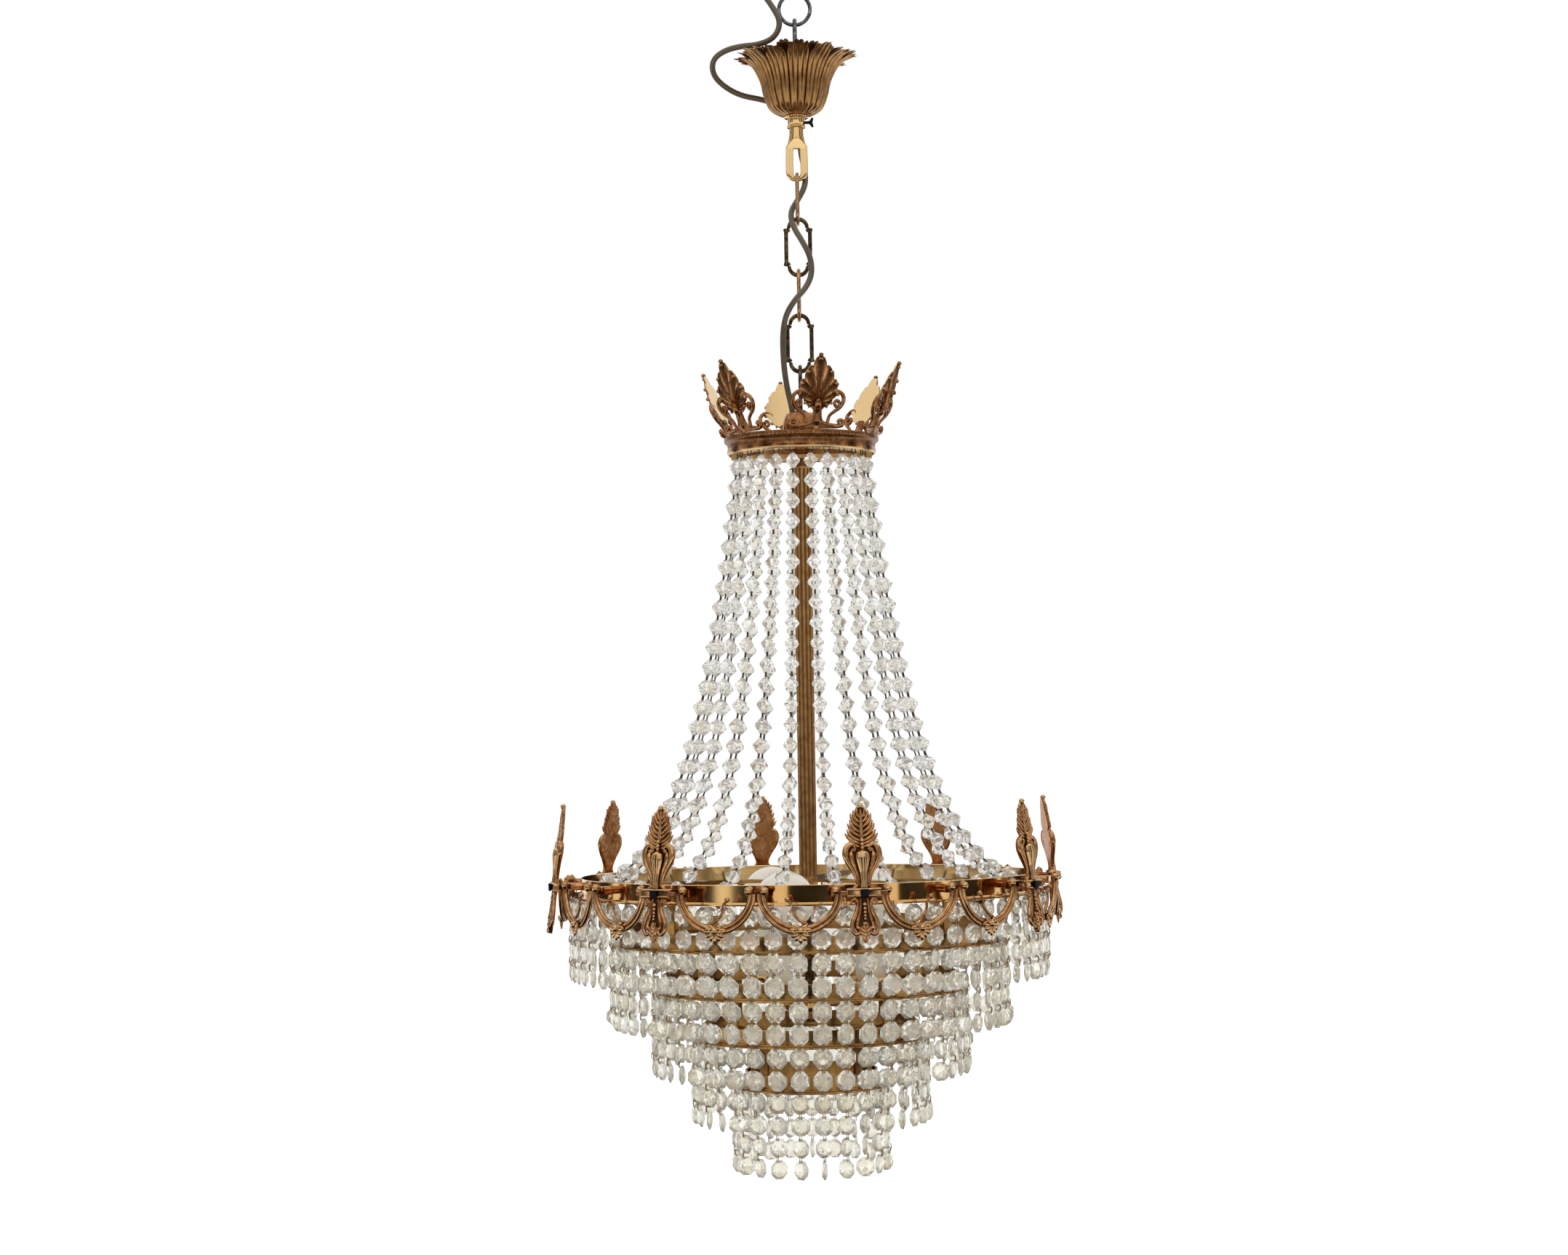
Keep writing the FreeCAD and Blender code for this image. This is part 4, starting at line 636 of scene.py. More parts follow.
def cast_link(high, low):
    """A casting: two arches of wire, and side bars turned with flared ends like candlesticks."""
    arch, bar_out = 7.2 * MM, LINK_HALF
    a = np.linspace(0.0, np.pi, 26)
    lean = np.sin(a)
    wire = (1.35 + 0.35 * lean) * MM
    top = np.stack([arch * np.cos(a), 0 * a, high - arch + arch * lean], 1)
    foot = np.stack([arch * np.cos(a), 0 * a, low + arch - arch * lean], 1)
    forms = [tube(top, wire, 12), tube(foot, wire, 12)]
    bar_high, bar_low = high - arch - 0.2 * MM, low + arch + 0.2 * MM
    level = np.array([0, 0.02, 0.05, 0.085, 0.12, 0.2, 0.5, 0.8, 0.88, 0.915, 0.95, 0.98, 1.0])
    thick = np.array([1.7, 2.2, 2.1, 1.7, 1.55, 1.55, 1.6, 1.55, 1.55, 1.7, 2.1, 2.2, 1.7]) * MM
    for side in (-1, 1):
        z = bar_low + (bar_high - bar_low) * level
        forms.append(tube(np.stack([side * bar_out + 0 * z, 0 * z, z], 1), thick, 14))
        # A short web joins each arch to the bar beside it.
        for z in (bar_high - 2.2 * MM, bar_low + 2.2 * MM):
            towards = 1 if z > (high + low) / 2 else -1
            forms.append(tube(np.array([(side * (arch - 0.5 * MM), 0, z + 1.6 * MM * towards),
                                        (side * (arch + 0.6 * MM), 0, z + 0.2 * MM * towards),
                                        (side * bar_out, 0, z - 0.2 * MM * towards)]), 1.2 * MM, 10))
    return joined(forms)


for number, high, low in ((2, -175.9, -219.9), (4, -251.3, -295.3)):
    piece(f"cast_link_{number}", cast_link(high * MM, low * MM), chain_bronze, "dark_bronze",
          [f"chain_link_{number}"], f"link_{number}")


# --- Central rod, cap and column ---------------------------------------------------------------
# A rod of bronzed brass runs from its eye, hidden in the cap, down to the lamps. The cap is a spun
# brass cup, and below the crown a reeded brass tube covers the rod.
dress(chain_bronze, "column_eye_rod")
CAP_LINE = np.array([(4.0, -342.2), (4.0, -360.4), (6.6, -360.4), (6.4, -352.0), (7.5, -347.5),
                     (12.5, -344.9), (14.4, -343.0), (14.5, -339.5), (13.8, -334.4), (12.3, -330.0),
                     (11.3, -328.4), (10.9, -329.2), (11.9, -334.0), (12.7, -338.6), (12.5, -342.2)]) * MM
piece("crown_cup", turned(CAP_LINE, 72, closed=True), crown_brass, "antique_brass",
      ["crown_cap"], "basket", crease=45)

REEDS, COLUMN_SIDES, COLUMN_BORE = 12, 96, 4.6 * MM
column_z = np.array([-369.6, -371.0, -371.4, -686.5, -688.0]) * MM
column_r = np.array([6.9, 6.9, 6.45, 6.45, 6.9]) * MM
reed_depth = np.array([0, 0, 0.42, 0.42, 0]) * MM
column_out = turned(np.stack([column_r, column_z], 1), COLUMN_SIDES, REEDS, reed_depth)
column_in = turned(np.stack([np.full(len(column_z), COLUMN_BORE), column_z[::-1]], 1), COLUMN_SIDES)
column_points = np.concatenate([column_out[0], column_in[0]]).reshape(-1, COLUMN_SIDES, 3)
reed_wave = np.cos(REEDS * np.arange(COLUMN_SIDES) / COLUMN_SIDES * 2 * np.pi)
column_stain = np.concatenate([np.clip(0.3 - 0.6 * reed_wave, 0, 0.6) * (reed_depth > 0)[:, None],
                               np.zeros((len(column_z), COLUMN_SIDES))])
piece("reeded_column", grid(column_points, True, True), leaf_brass, "antique_brass", ["column_tube"],
      "basket", patina=column_stain, crease=70)
dress(cast_brass, "rod_nuts")
dress(back_brass, "crown_cross_bar")


# --- Crown ring --------------------------------------------------------------------------------
# A turned brass hoop with a milled upper edge, a cove under it and a wide inner flange, on which
# the bead strings hook. The cross bar is screwed under it, and six palmettes stand inside its lip.
TICKS = 120
CROWN_SIDES = TICKS * 4
crown_profile = np.array([(54.5, -347.0), (59.3, -347.0), (59.9, -347.5), (59.9, -350.2),
                          (59.3, -350.9), (58.4, -351.5), (57.5, -353.0), (57.2, -354.5),
                          (57.5, -356.8), (57.6, -358.6), (56.6, -360.5), (45.2, -360.5),
                          (45.0, -360.0), (45.2, -359.0), (54.5, -359.0)]) * MM
tick_depth = np.zeros(len(crown_profile))
tick_depth[2:4] = 0.1 * MM
# The wash lies between the ticks and in the cove; the flange's underside and inside are bare.
crown_stain = np.zeros((len(crown_profile), CROWN_SIDES))
tick_wave = np.cos(TICKS * np.arange(CROWN_SIDES) / CROWN_SIDES * 2 * np.pi)
crown_stain[2:4] = np.clip(0.5 - 0.9 * tick_wave, 0, 0.35)
crown_stain[4:8] = 0.35
crown_stain[10:] = -1.0
piece("crown_hoop", turned(crown_profile, CROWN_SIDES, TICKS, tick_depth, closed=True), crown_brass,
      "antique_brass", ["crown_ring"], "basket", patina=crown_stain, crease=50)


# --- Palmettes ---------------------------------------------------------------------------------
# Cast leaves: a fan of eleven arched ribs over an oval boss, S-shaped arms at its sides, and a
# base of two scrolls. They lean out from the crown, and their plain backs are bare brass.
def ball(radius, place, squeeze=(1, 1, 1), rows=11, sides=16):
    """A sphere, or an ellipsoid squeezed along x, y and z, closed at its poles."""
    lift = np.linspace(0, np.pi, rows)[:, None]
    turn = np.arange(sides)[None] / sides * 2 * np.pi
    points = np.stack([np.sin(lift) * np.cos(turn), np.sin(lift) * np.sin(turn), np.cos(lift) + 0 * turn], -1)
    return grid(points * radius * np.array(squeeze) + np.array(place), False, True)


def joined_with_wash_and_highlights(*pairs):
    """Forms with their patina values, joined: a single number is spread over a whole form."""
    form = joined([f for f, _ in pairs])
    wash_and_painted_light = np.concatenate([np.broadcast_to(np.ravel(s), len(f[0])) if np.size(s) == 1 else np.ravel(s)
                            for f, s in pairs])
    return form, wash_and_painted_light


def upright(points):
    """Drawn (x, z) points in millimetres as points of the XZ plane in metres."""
    points = np.asarray(points, float) * MM
    return np.stack([points[:, 0], 0 * points[:, 0], points[:, 1]], 1)


def mirrored(form):
    """A form and its mirror image across the middle plane."""
    points, faces = form
    return joined([form, (points * [-1, 1, 1], [f[:, ::-1] for f in faces])])


def placed(form, tilt, place):
    """A form tipped about the x axis by degrees, its top towards the front if positive, then moved."""
    c, s = math.cos(math.radians(tilt)), math.sin(math.radians(tilt))
    return form[0] @ np.array([[1, 0, 0], [0, c, s], [0, -s, c]]) + np.array(place) * MM, form[1]


FAN_ANGLES = (0.0, 4.7, 17.2, 34.2, 52.8, 66.5, 101.0)
FAN_RADII = (39.2, 38.6, 30.4, 24.2, 19.8, 12.5, 5.3)
FAN_RIBS, FAN_FOOT, PALMETTE_THICK = 11, 17.5, 2.6


def fan_leaf():
    """A polar grid about the boss; each flute keeps its share of the edge but arches as it rises.

    At a share `reach` of the way out, a flute that ends at angle a stands at a times reach^0.4. The
    flutes are hollow with sharp ridges between, and each ends in a small rolled curl.
    """
    share = np.linspace(-1, 1, FAN_RIBS * 8 + 1)[:, None]
    reach = np.linspace(0.02, 1, 22)[None]
    within = (share + 1) / 2 * FAN_RIBS
    off_middle = np.abs(2 * (within - np.floor(np.minimum(within, FAN_RIBS - 1e-9))) - 1)
    ridge = off_middle ** 2.2
    edge = np.interp(np.abs(share) * FAN_ANGLES[-1], FAN_ANGLES, FAN_RADII) * (1 - 0.1 * off_middle ** 3)
    radius = edge * reach
    angle = np.radians(share * FAN_ANGLES[-1] * reach ** 0.4)
    x, z = radius * np.sin(angle), FAN_FOOT + radius * np.cos(angle)
    rise = (0.2 + 1.4 * ridge * np.clip(reach * 3, 0, 1)) * np.sqrt(np.clip(1.02 - reach ** 8, 0.02, 1))
    front = np.stack([x, 0.3 - PALMETTE_THICK / 2 - rise + 0.6 * reach ** 2, z], -1) * MM
    back = np.stack([x, PALMETTE_THICK / 2 - 0.3 + 0 * x, z], -1) * MM
    groove = (0.9 - 1.3 * ridge) * (0.35 + 0.65 * reach)
    curls = []
    for rib in range(FAN_RIBS):
        at = (2 * (rib + 0.5) / FAN_RIBS - 1) * FAN_ANGLES[-1]
        out, turn = 0.95 * np.interp(abs(at), FAN_ANGLES, FAN_RADII), math.radians(at)
        lobe = ball(min(1.9, 0.10 * out + 0.4) * MM, (0, 0, 0), (1.1, 0.8, 0.75), 9, 10)
        c, s = math.cos(turn), math.sin(turn)
        curls.append((lobe[0] @ np.array([[c, 0, -s], [0, 1, 0], [s, 0, c]])
                      + np.array([out * s, -0.9, FAN_FOOT + out * c]) * MM, lobe[1]))
    return (capped(np.concatenate([front, back[:, ::-1]], 1)), np.concatenate([groove, groove * 0 - 0.9], 1),
            joined(curls))


def scroll(points, thick, sides=10, count=44, flat=1.0):
    """A tube along a smooth line through drawn points, thick where its list says."""
    line = rounded(upright(points), count)
    radius = np.interp(np.linspace(0, 1, count), np.linspace(0, 1, len(thick)), thick) * MM
    return tube(line, radius, sides, flat=flat)


def plaque(half_widths, levels, thick, rows=14, across=13, bow=0.8, back=0.0):
    """A plate whose half width follows a smooth line up its height.

    Its front is crowned by `bow` towards the middle, and the whole plate is set back by `back`.
    """
    line = rounded(np.stack([half_widths, levels], 1), rows)
    share = np.linspace(-1, 1, across)[None]
    x, z = line[:, 0, None] * share, line[:, 1, None] + 0 * share
    front = np.stack([x, back - thick / 2 - bow * (1 - share ** 2) + 0 * x, z], -1) * MM
    rear = np.stack([x, back + thick / 2 + 0 * x, z], -1) * MM
    return capped(np.concatenate([front, rear[:, ::-1]], 1))


fan, fan_stain, fan_curls = fan_leaf()
arm = scroll([(8.5, 25.5), (11.5, 28.8), (15.8, 29.0), (19.2, 25.6), (19.4, 20.8), (16.8, 16.4), (12.8, 13.2),
              (9.6, 10.0), (8.4, 5.0)], (1.0, 1.3, 1.5, 1.6, 1.6, 1.5, 1.3, 1.2, 1.4))
inner_curl = scroll([(18.0, 18.0), (14.6, 17.2), (12.8, 19.8), (14.4, 22.2), (16.4, 20.8), (15.0, 19.8)],
                    (1.2, 1.3, 1.3, 1.2, 1.2, 1.5))
base_scroll = scroll([(2.0, 6.0), (6.0, 4.0), (11.0, 2.6), (16.0, 2.0), (19.6, 2.8), (20.4, 5.4), (18.4, 7.0),
                      (16.6, 5.8), (17.8, 4.6)], (1.5, 1.6, 1.7, 1.8, 1.7, 1.5, 1.3, 1.2, 1.5))
base = plaque((16.0, 15.0, 8.0, 4.0, 3.0), (0.3, 2.2, 3.8, 8.0, 17.0), 2.0, bow=0.4)
stem = scroll([(0, 0.4), (0, 3.0), (0, 6.5), (0, 9.5), (0, 12.0), (0, 15.0)],
              (3.4, 3.0, 4.0, 3.0, 2.2, 3.0), 16, flat=0.7)
boss_leaf = [scroll([(1.0 + 0.4 * k, 13.0), (3.4 + 1.4 * k, 18.5), (1.6 + 1.5 * k, 26.0)],
                    (0.6, 0.9, 0.5), 8, 12) for k in range(2)]
boss = ball(3.0 * MM, np.array([0, -1.6, 19.6]) * MM, (0.95, 0.75, 1.6))
top_bead = ball(1.8 * MM, np.array([0, -0.2, 57.6]) * MM)
# The curls at the fan's rim are painted a little paler as highlights.
palmette, palmette_wash_and_highlights = joined_with_wash_and_highlights(
    (fan, fan_stain), (fan_curls, -0.15), (mirrored(arm), 0.05), (mirrored(inner_curl), 0.15),
    (mirrored(base_scroll), 0.0), (base, 0.3), (stem, 0.1), (boss, 0.0),
    (mirrored(joined(boss_leaf)), 0.1), (top_bead, 0.0))
PALMETTES, CROWN_PHASE, CROWN_FLARE, PALMETTE_FOOT = 6, 11.5, 24, (0, -56.8, -346.45)
standing = placed(palmette, CROWN_FLARE, PALMETTE_FOOT)
for number in range(1, PALMETTES + 1):
    piece(f"palmette_{number}", turned_to(standing, CROWN_PHASE + 360 / PALMETTES * (number - 1)),
          crown_brass, "antique_brass", [f"crown_palmette_{number}"], "basket",
          patina=palmette_wash_and_highlights, crease=60)


# --- Rings of the basket -----------------------------------------------------------------------
# The main ring and four smaller rings are rolled from flat brass with a flange at the foot, and
# polished. Straps hold each ring under the one above, and a flat spider carries the main ring.
BAND_RADIUS, BAND_FOOT, FLANGE_THICK, RING_STEP, RING_DROP = 175.0, -697.6, 1.5, 31.0, 36.9
BAND_WALL, BAND_TALL, FLANGE_OUT, CORNER = 1.8, 14.5, 9.0, 0.4


def ring_profile(radius, foot, inside):
    """The band with its flange, which runs in by `inside`: corners drawn with small rounds."""
    rim, inner, top = radius + FLANGE_OUT, radius - BAND_WALL, foot + BAND_TALL
    return np.array([(radius - inside, foot + 0.1), (radius - inside + 0.1, foot), (rim - CORNER, foot),
                     (rim, foot + CORNER), (rim, foot + FLANGE_THICK - CORNER),
                     (rim - CORNER, foot + FLANGE_THICK), (radius + 0.6, foot + FLANGE_THICK),
                     (radius, foot + FLANGE_THICK + 0.6), (radius, top - CORNER), (radius - CORNER, top),
                     (inner + CORNER, top), (inner, top - CORNER), (inner, foot + FLANGE_THICK),
                     (radius - inside, foot + FLANGE_THICK - 0.1)]) * MM


# The main ring's inner wall is bare brass. The lower rings' bands are 1.5 mm lower than its own.
MAIN_SIDES, LOW_SIDES, MAIN_INSIDE, LOW_INSIDE, LOW_BAND_CUT = 192, 160, 15, 4, 1.5 * MM
main_profile = ring_profile(BAND_RADIUS, BAND_FOOT - FLANGE_THICK, MAIN_INSIDE)
hoop_stain = np.zeros((len(main_profile), MAIN_SIDES))
hoop_stain[9:13] = -1.0
piece("main_hoop", turned(main_profile, MAIN_SIDES, closed=True), ring_brass, "polished_band",
      ["main_ring"], "basket", patina=hoop_stain, crease=35)
# The lower rings, the spider and the straps take the brass with painted dark reflections.
for number in range(2, 6):
    low_profile = ring_profile(BAND_RADIUS - RING_STEP * (number - 1),
                               BAND_FOOT - FLANGE_THICK - RING_DROP * (number - 1), LOW_INSIDE)
    low_profile[8:12, 1] -= LOW_BAND_CUT
    piece(f"hoop_{number}", turned(low_profile, LOW_SIDES, closed=True), low_ring_brass, "polished_band",
          [f"tier_ring_{number}"], "basket", crease=35)
dress(low_ring_brass, "spider_frame", "ring_brackets")


# --- Bead strings ------------------------------------------------------------------------------
# Twenty-four strings of twenty-three faceted glass beads fall from the crown to the main ring in
# the curve of a hanging chain. Beads are joined by bent pins of dark wire.
def crystal_glass(name, tint, shade, clear, rough):
    """Old lead glass: mostly clear, slightly milky, and warmer in clouds about 14 mm wide."""
    material, tree, shader = finish_named(name, Roughness=rough, IOR=1.54, Transmission_Weight=clear,
                                          Specular_IOR_Level=0.7)
    place = add(tree, "TexCoord").outputs["Object"]
    cloud = add(tree, "TexNoise", {"Vector": place, "Scale": 70.0, "Detail": 2.0}).outputs["Fac"]
    spread = add(tree, "MapRange", {"Value": cloud, "From Min": 0.35, "From Max": 0.65}).outputs[0]
    body = add(tree, "Mix", {0: spread, 6: tone(shade), 7: tone(tint)}, data_type="RGBA")
    tree.links.new(body.outputs[2], shader.inputs["Base Color"])
    return material


# Pressed, then cut: bright edges over a slightly milky body.
bead_glass = crystal_glass("milky_cut_glass_beads", "#FFFFFF", "#F8F3E6", 0.8, 0.03)
# Cut and polished by hand: clearer and brighter, with each facet sharp.
drop_glass = crystal_glass("cut_lead_glass_octagons", "#FFFEF8", "#F4EEDC", 0.82, 0.02)
# Drawn brass wire, never polished: dark brown with hardly a shine.
dark_wire = finish_named("dulled_brass_wire", Base_Color=tone("#4E3C26"), Metallic=0.9, Roughness=0.5)[0]


def around(form, count, phase=0.0):
    """Copies of a form made at the front, spaced evenly round the axis, as one form."""
    return joined([turned_to(form, phase + 360 * i / count) for i in range(count)])


# A hanging chain follows a cosh(x / a), where a is the radius of its bend at its lowest point. That
# radius is found by halving: it must give the drop from crown to ring. Sizes are in millimetres.
STRINGS, BEADS, LEVEL_RADIUS, TOP_RADIUS, FOOT_RADIUS = 24, 23, 172.0, 50.0, 164.0
TOP_LEVEL, FOOT_LEVEL = -362.0, -690.0
too_sharp, too_wide = 20.0, 120.0
while too_wide - too_sharp > 1e-6:
    bend = (too_sharp + too_wide) / 2
    climb = bend * (math.cosh((LEVEL_RADIUS - TOP_RADIUS) / bend)
                    - math.cosh((LEVEL_RADIUS - FOOT_RADIUS) / bend))
    if climb > TOP_LEVEL - FOOT_LEVEL:
        too_sharp = bend
    else:
        too_wide = bend


def string_points(lengths):
    """Points of the front string by chain length from its top: radius and height of a catenary."""
    left = bend * math.sinh((LEVEL_RADIUS - TOP_RADIUS) / bend) - np.asarray(lengths, float)
    across = bend * np.arcsinh(left / bend)
    level = (FOOT_LEVEL - bend * math.cosh((LEVEL_RADIUS - FOOT_RADIUS) / bend)
             + bend * np.cosh(across / bend))
    return np.stack([0 * across, across - LEVEL_RADIUS, level], 1) * MM


chain_run = bend * (math.sinh((LEVEL_RADIUS - TOP_RADIUS) / bend)
                    - math.sinh((LEVEL_RADIUS - FOOT_RADIUS) / bend))
bead_step = chain_run / BEADS
centres, ahead, behind = (string_points((np.arange(BEADS) + part) * bead_step) for part in (0.5, 0.6, 0.4))
headings = ahead - behind
headings /= np.linalg.norm(headings, axis=1)[:, None]


def cut_bead(centre, heading, spin):
    """A bead cut as two eight-sided cones with a narrow girdle, blunt at the pins."""
    along = np.array([-6.0, -5.2, -0.6, 0.6, 5.2, 6.0]) * MM
    thick = np.array([1.1, 1.9, 5.4, 5.4, 1.9, 1.1]) * MM
    side = np.array([1.0, 0, 0])
    other = np.cross(heading, side)
    turn = (np.arange(8) + spin) / 8 * 2 * np.pi
    points = (centre + along[:, None, None] * heading
              + thick[:, None, None] * (np.cos(turn)[:, None] * side + np.sin(turn)[:, None] * other))
    return capped(points)


beads = []
for number in range(STRINGS):
    own = [cut_bead(c, h, chance.uniform(0, 1)) for c, h in zip(centres, headings)]
    beads.append(turned_to(joined(own), 360 / STRINGS * (number + 0.5)))
piece("glass_beads", joined(beads), bead_glass, "crystal_beads", ["bead_strings"], "basket", flat_faces=True)

# Two bent pins join each bead to the next, from eyes 5.6 mm off their centres. The top bead hangs
# by two more from the crown's flange, and the lowest is tied to the main ring by a thicker one.
EYE_OUT, PIN_WIRE, TIE_WIRE = 5.6 * MM, 0.45 * MM, 0.6 * MM
pins = []
for i in range(BEADS - 1):
    start, stop = centres[i] + headings[i] * EYE_OUT, centres[i + 1] - headings[i + 1] * EYE_OUT
    for bow in (-0.55, 0.55):
        path = np.linspace(start, stop, 5)
        path[:, 0] += np.array([0, 1, 0.4, 1, 0]) * bow * MM
        pins.append(tube(path, PIN_WIRE, 6, across=(1, 0, 0)))
top_eye = centres[0] - headings[0] * EYE_OUT
for side in (-1, 1):
    path = np.array([(side * 2.6 * MM, top_eye[1], -360.2 * MM), (side * 1.6 * MM, top_eye[1], -363.0 * MM),
                     top_eye])
    pins.append(tube(path, PIN_WIRE, 6, across=(0, 1, 0)))
foot_eye = centres[-1] + headings[-1] * EYE_OUT
pins.append(tube(np.array([foot_eye, (0, -165.0 * MM, -697.4 * MM)]), TIE_WIRE, 6, across=(1, 0, 0)))
piece("bead_pins", around(joined(pins), STRINGS, 180 / STRINGS), dark_wire, "dark_wire", ["string_hooks"],
      "basket")


# --- Octagon crystals --------------------------------------------------------------------------
# Each tier hangs as strings of four octagons, 14 mm across and 5 mm thick, with a star of facets
# on both faces and pairs of bent pins between. They hang a little askew, as pinned glass does.
def octagon_shape():
    """A star cut: eight corners half way out, turned half a step, between a blunt point and the rim.

    The rings of points go from the front's middle, point 0, to the back's, point 33: each has its
    radius, its turn in half steps and its depth.
    """
    step = np.pi / 8
    rings = [(0.0, 1, -2.5), (4.6, 2, -1.9), (7.55, 1, -0.45), (7.55, 1, 0.45), (4.6, 2, 1.9), (0.0, 1, 2.5)]
    points = [(r * math.cos((2 * k + offset) * step), y, r * math.sin((2 * k + offset) * step))
              for r, offset, y in rings for k in range(8 if r else 1)]
    following = [(k, (k + 1) % 8) for k in range(8)]
    thirds = [(0, 1 + k, 1 + n) for k, n in following] + [(33, 25 + n, 25 + k) for k, n in following]
    thirds += [(1 + k, 9 + k, 9 + n) for k, n in following] + [(1 + k, 9 + n, 1 + n) for k, n in following]
    thirds += [(25 + k, 17 + n, 17 + k) for k, n in following]
    thirds += [(25 + k, 25 + n, 17 + n) for k, n in following]
    edge = [(9 + k, 17 + k, 17 + n, 9 + n) for k, n in following]
    return np.array(points) * MM, [np.array(thirds), np.array(edge)]


OCTAGON = octagon_shape()


def octagons(poses):
    """Octagons one under another, one for each (swing about the string, lean, height)."""
    forms = []
    for swing, lean, drop in poses:
        c, s = math.cos(swing), math.sin(swing)
        shape = OCTAGON[0] @ np.array([[c, s, 0], [-s, c, 0], [0, 0, 1]])
        c, s = math.cos(lean), math.sin(lean)
        leaned = shape @ np.array([[c, 0, s], [0, 1, 0], [-s, 0, c]])
        forms.append((leaned + np.array([0, 0, drop]), OCTAGON[1]))
    return joined(forms)


TIER_COUNTS, HANG_OUT, ROWS, ROW_PITCH = (67, 56, 44, 33, 21), 7.0, 4, 16.2
FIRST_DROP, STAPLE_WIRE = 0.7 + 7, 0.32 * MM
# How far each row swings off square at random, in radians; the smallest tier swings more.
ROW_SWING, LAST_TIER_MORE, ROW_LEAN = np.array([0.1, 0.2, 0.32, 0.5]), 1.9, 0.035
# The right-hand staple of a pair, from the hole below it to the hole above, in millimetres.
STAPLE = np.array([(0.8, -1.9, -2.6), (0.7, -2.7, -1.2), (0.7, -2.7, 1.2), (0.8, -1.9, 2.6)])
loops = []
for tier, amount in enumerate(TIER_COUNTS, 1):
    hang = (BAND_RADIUS + HANG_OUT - RING_STEP * (tier - 1)) * MM
    top = (BAND_FOOT - FLANGE_THICK - RING_DROP * (tier - 1)) * MM
    drops = top - (FIRST_DROP + ROW_PITCH * np.arange(ROWS)) * MM
    spread = ROW_SWING * (LAST_TIER_MORE if tier == 5 else 1.0)
    glass = []
    for number in range(amount):
        rows_now = [(chance.normal(0, w), chance.normal(0, ROW_LEAN), d) for w, d in zip(spread, drops)]
        points, faces = octagons(rows_now)
        glass.append(turned_to((points + [0, -hang, 0], faces), 360 / amount * (number + 0.5)))
    piece(f"octagon_tier_{tier}", joined(glass), drop_glass, "crystal", [f"crystal_tier_{tier}"], "basket",
          flat_faces=True)
    staples = [tube(STAPLE * [side, 1, 1] * MM + [0, -hang, level], STAPLE_WIRE, 5, across=(1, 0, 0))
               for level in [top + 0.2 * MM] + [d - ROW_PITCH / 2 * MM for d in drops[:-1]]
               for side in (-1, 1)]
    loops.append(around(joined(staples), amount, 180 / amount))
# Drawn brass wire: plain yellow-brown, bright along its bends.
pin_brass = finish_named("drawn_brass_wire", Base_Color=tone("#9A7640"), Metallic=1.0, Roughness=0.35)[0]
piece("octagon_pins", joined(loops), pin_brass, "dark_wire", body="basket")


# --- Ornaments ---------------------------------------------------------------------------------
# Eight cast ornaments bolted round the main ring: a serrated leaf over a vase with scrolls, a
# moulded bar with the square bolt head, and below it a lyre of two scrolls about a beaded spine.
def wear_and_painted_highlight(form, wash_and_painted_light, start, depth, most):
    """Painted highlight: patina lowered, so the brass shows paler, where a form stands out from its plane:
    from `start` mm on, over `depth` mm.
    """
    return np.ravel(wash_and_painted_light) - most * ramp(-form[0][:, 1] / MM, start, depth)


def serrated_leaf(half_widths, levels, teeth):
    """A leaf with chevron ribs: each rib runs up and out from the midrib to a pointed tooth.

    Its width is the drawn line times a saw wave, one period for each tooth. Its front rises with
    the ribs as a sine, and along the midrib as a bell.
    """
    line = rounded(np.stack([half_widths, levels], 1), teeth * 8)
    share = np.linspace(-1, 1, 25)[None]
    up = np.linspace(0, 1, len(line))[:, None]
    tooth = (up * teeth - 0.45 * np.abs(share)) % 1.0
    width = line[:, 0, None] * (0.86 + 0.14 * np.clip(1.5 * ((up * teeth - 0.45) % 1.0), 0, 1))
    x, z = width * share, line[:, 1, None] + 0 * share
    rib = np.sin(np.pi * tooth) ** 0.6
    midrib = np.exp(-(share / 0.14) ** 2)
    rise = 1.0 * rib * (1 - 0.5 * share ** 2) + 0.9 * midrib
    front = np.stack([x, -0.9 - rise, z], -1) * MM
    back = np.stack([x, 1.8 + 0 * x, z], -1) * MM
    groove = np.clip(1.1 - 1.5 * rib - 1.2 * midrib, 0, 1)
    return capped(np.concatenate([front, back[:, ::-1]], 1)), np.concatenate([groove, groove * 0 - 0.6], 1)


# The leaf's ribs, from where each leaves the midrib to its tip, both as (half width, height).
LEAF_TIPS = [((0.8, 32.5), (9.0, 37.4)), ((0.9, 34.5), (11.9, 42.0)), ((0.9, 36.5), (10.4, 44.6)),
             ((0.8, 39.5), (9.7, 48.8)), ((0.8, 42.5), (8.0, 51.4)), ((0.7, 46.0), (7.4, 56.0)),
             ((0.6, 49.5), (5.2, 58.2)), ((0.4, 53.0), (2.6, 60.6))]
ribs = []
for (start_x, start_z), (tip_x, tip_z) in LEAF_TIPS:
    third = ((start_x * 2 + tip_x) / 3 + 0.9, (start_z * 2 + tip_z) / 3 - 1.0)
    near_tip = ((start_x + tip_x * 2) / 3 + 1.0, (start_z + tip_z * 2) / 3 - 0.9)
    ribs.append(scroll([(start_x, start_z), third, near_tip, (tip_x, tip_z)],
                       (0.7, 1.2, 1.35, 1.3, 0.35), 8, 14, 0.85))
leaf_ribs = mirrored(joined(ribs))
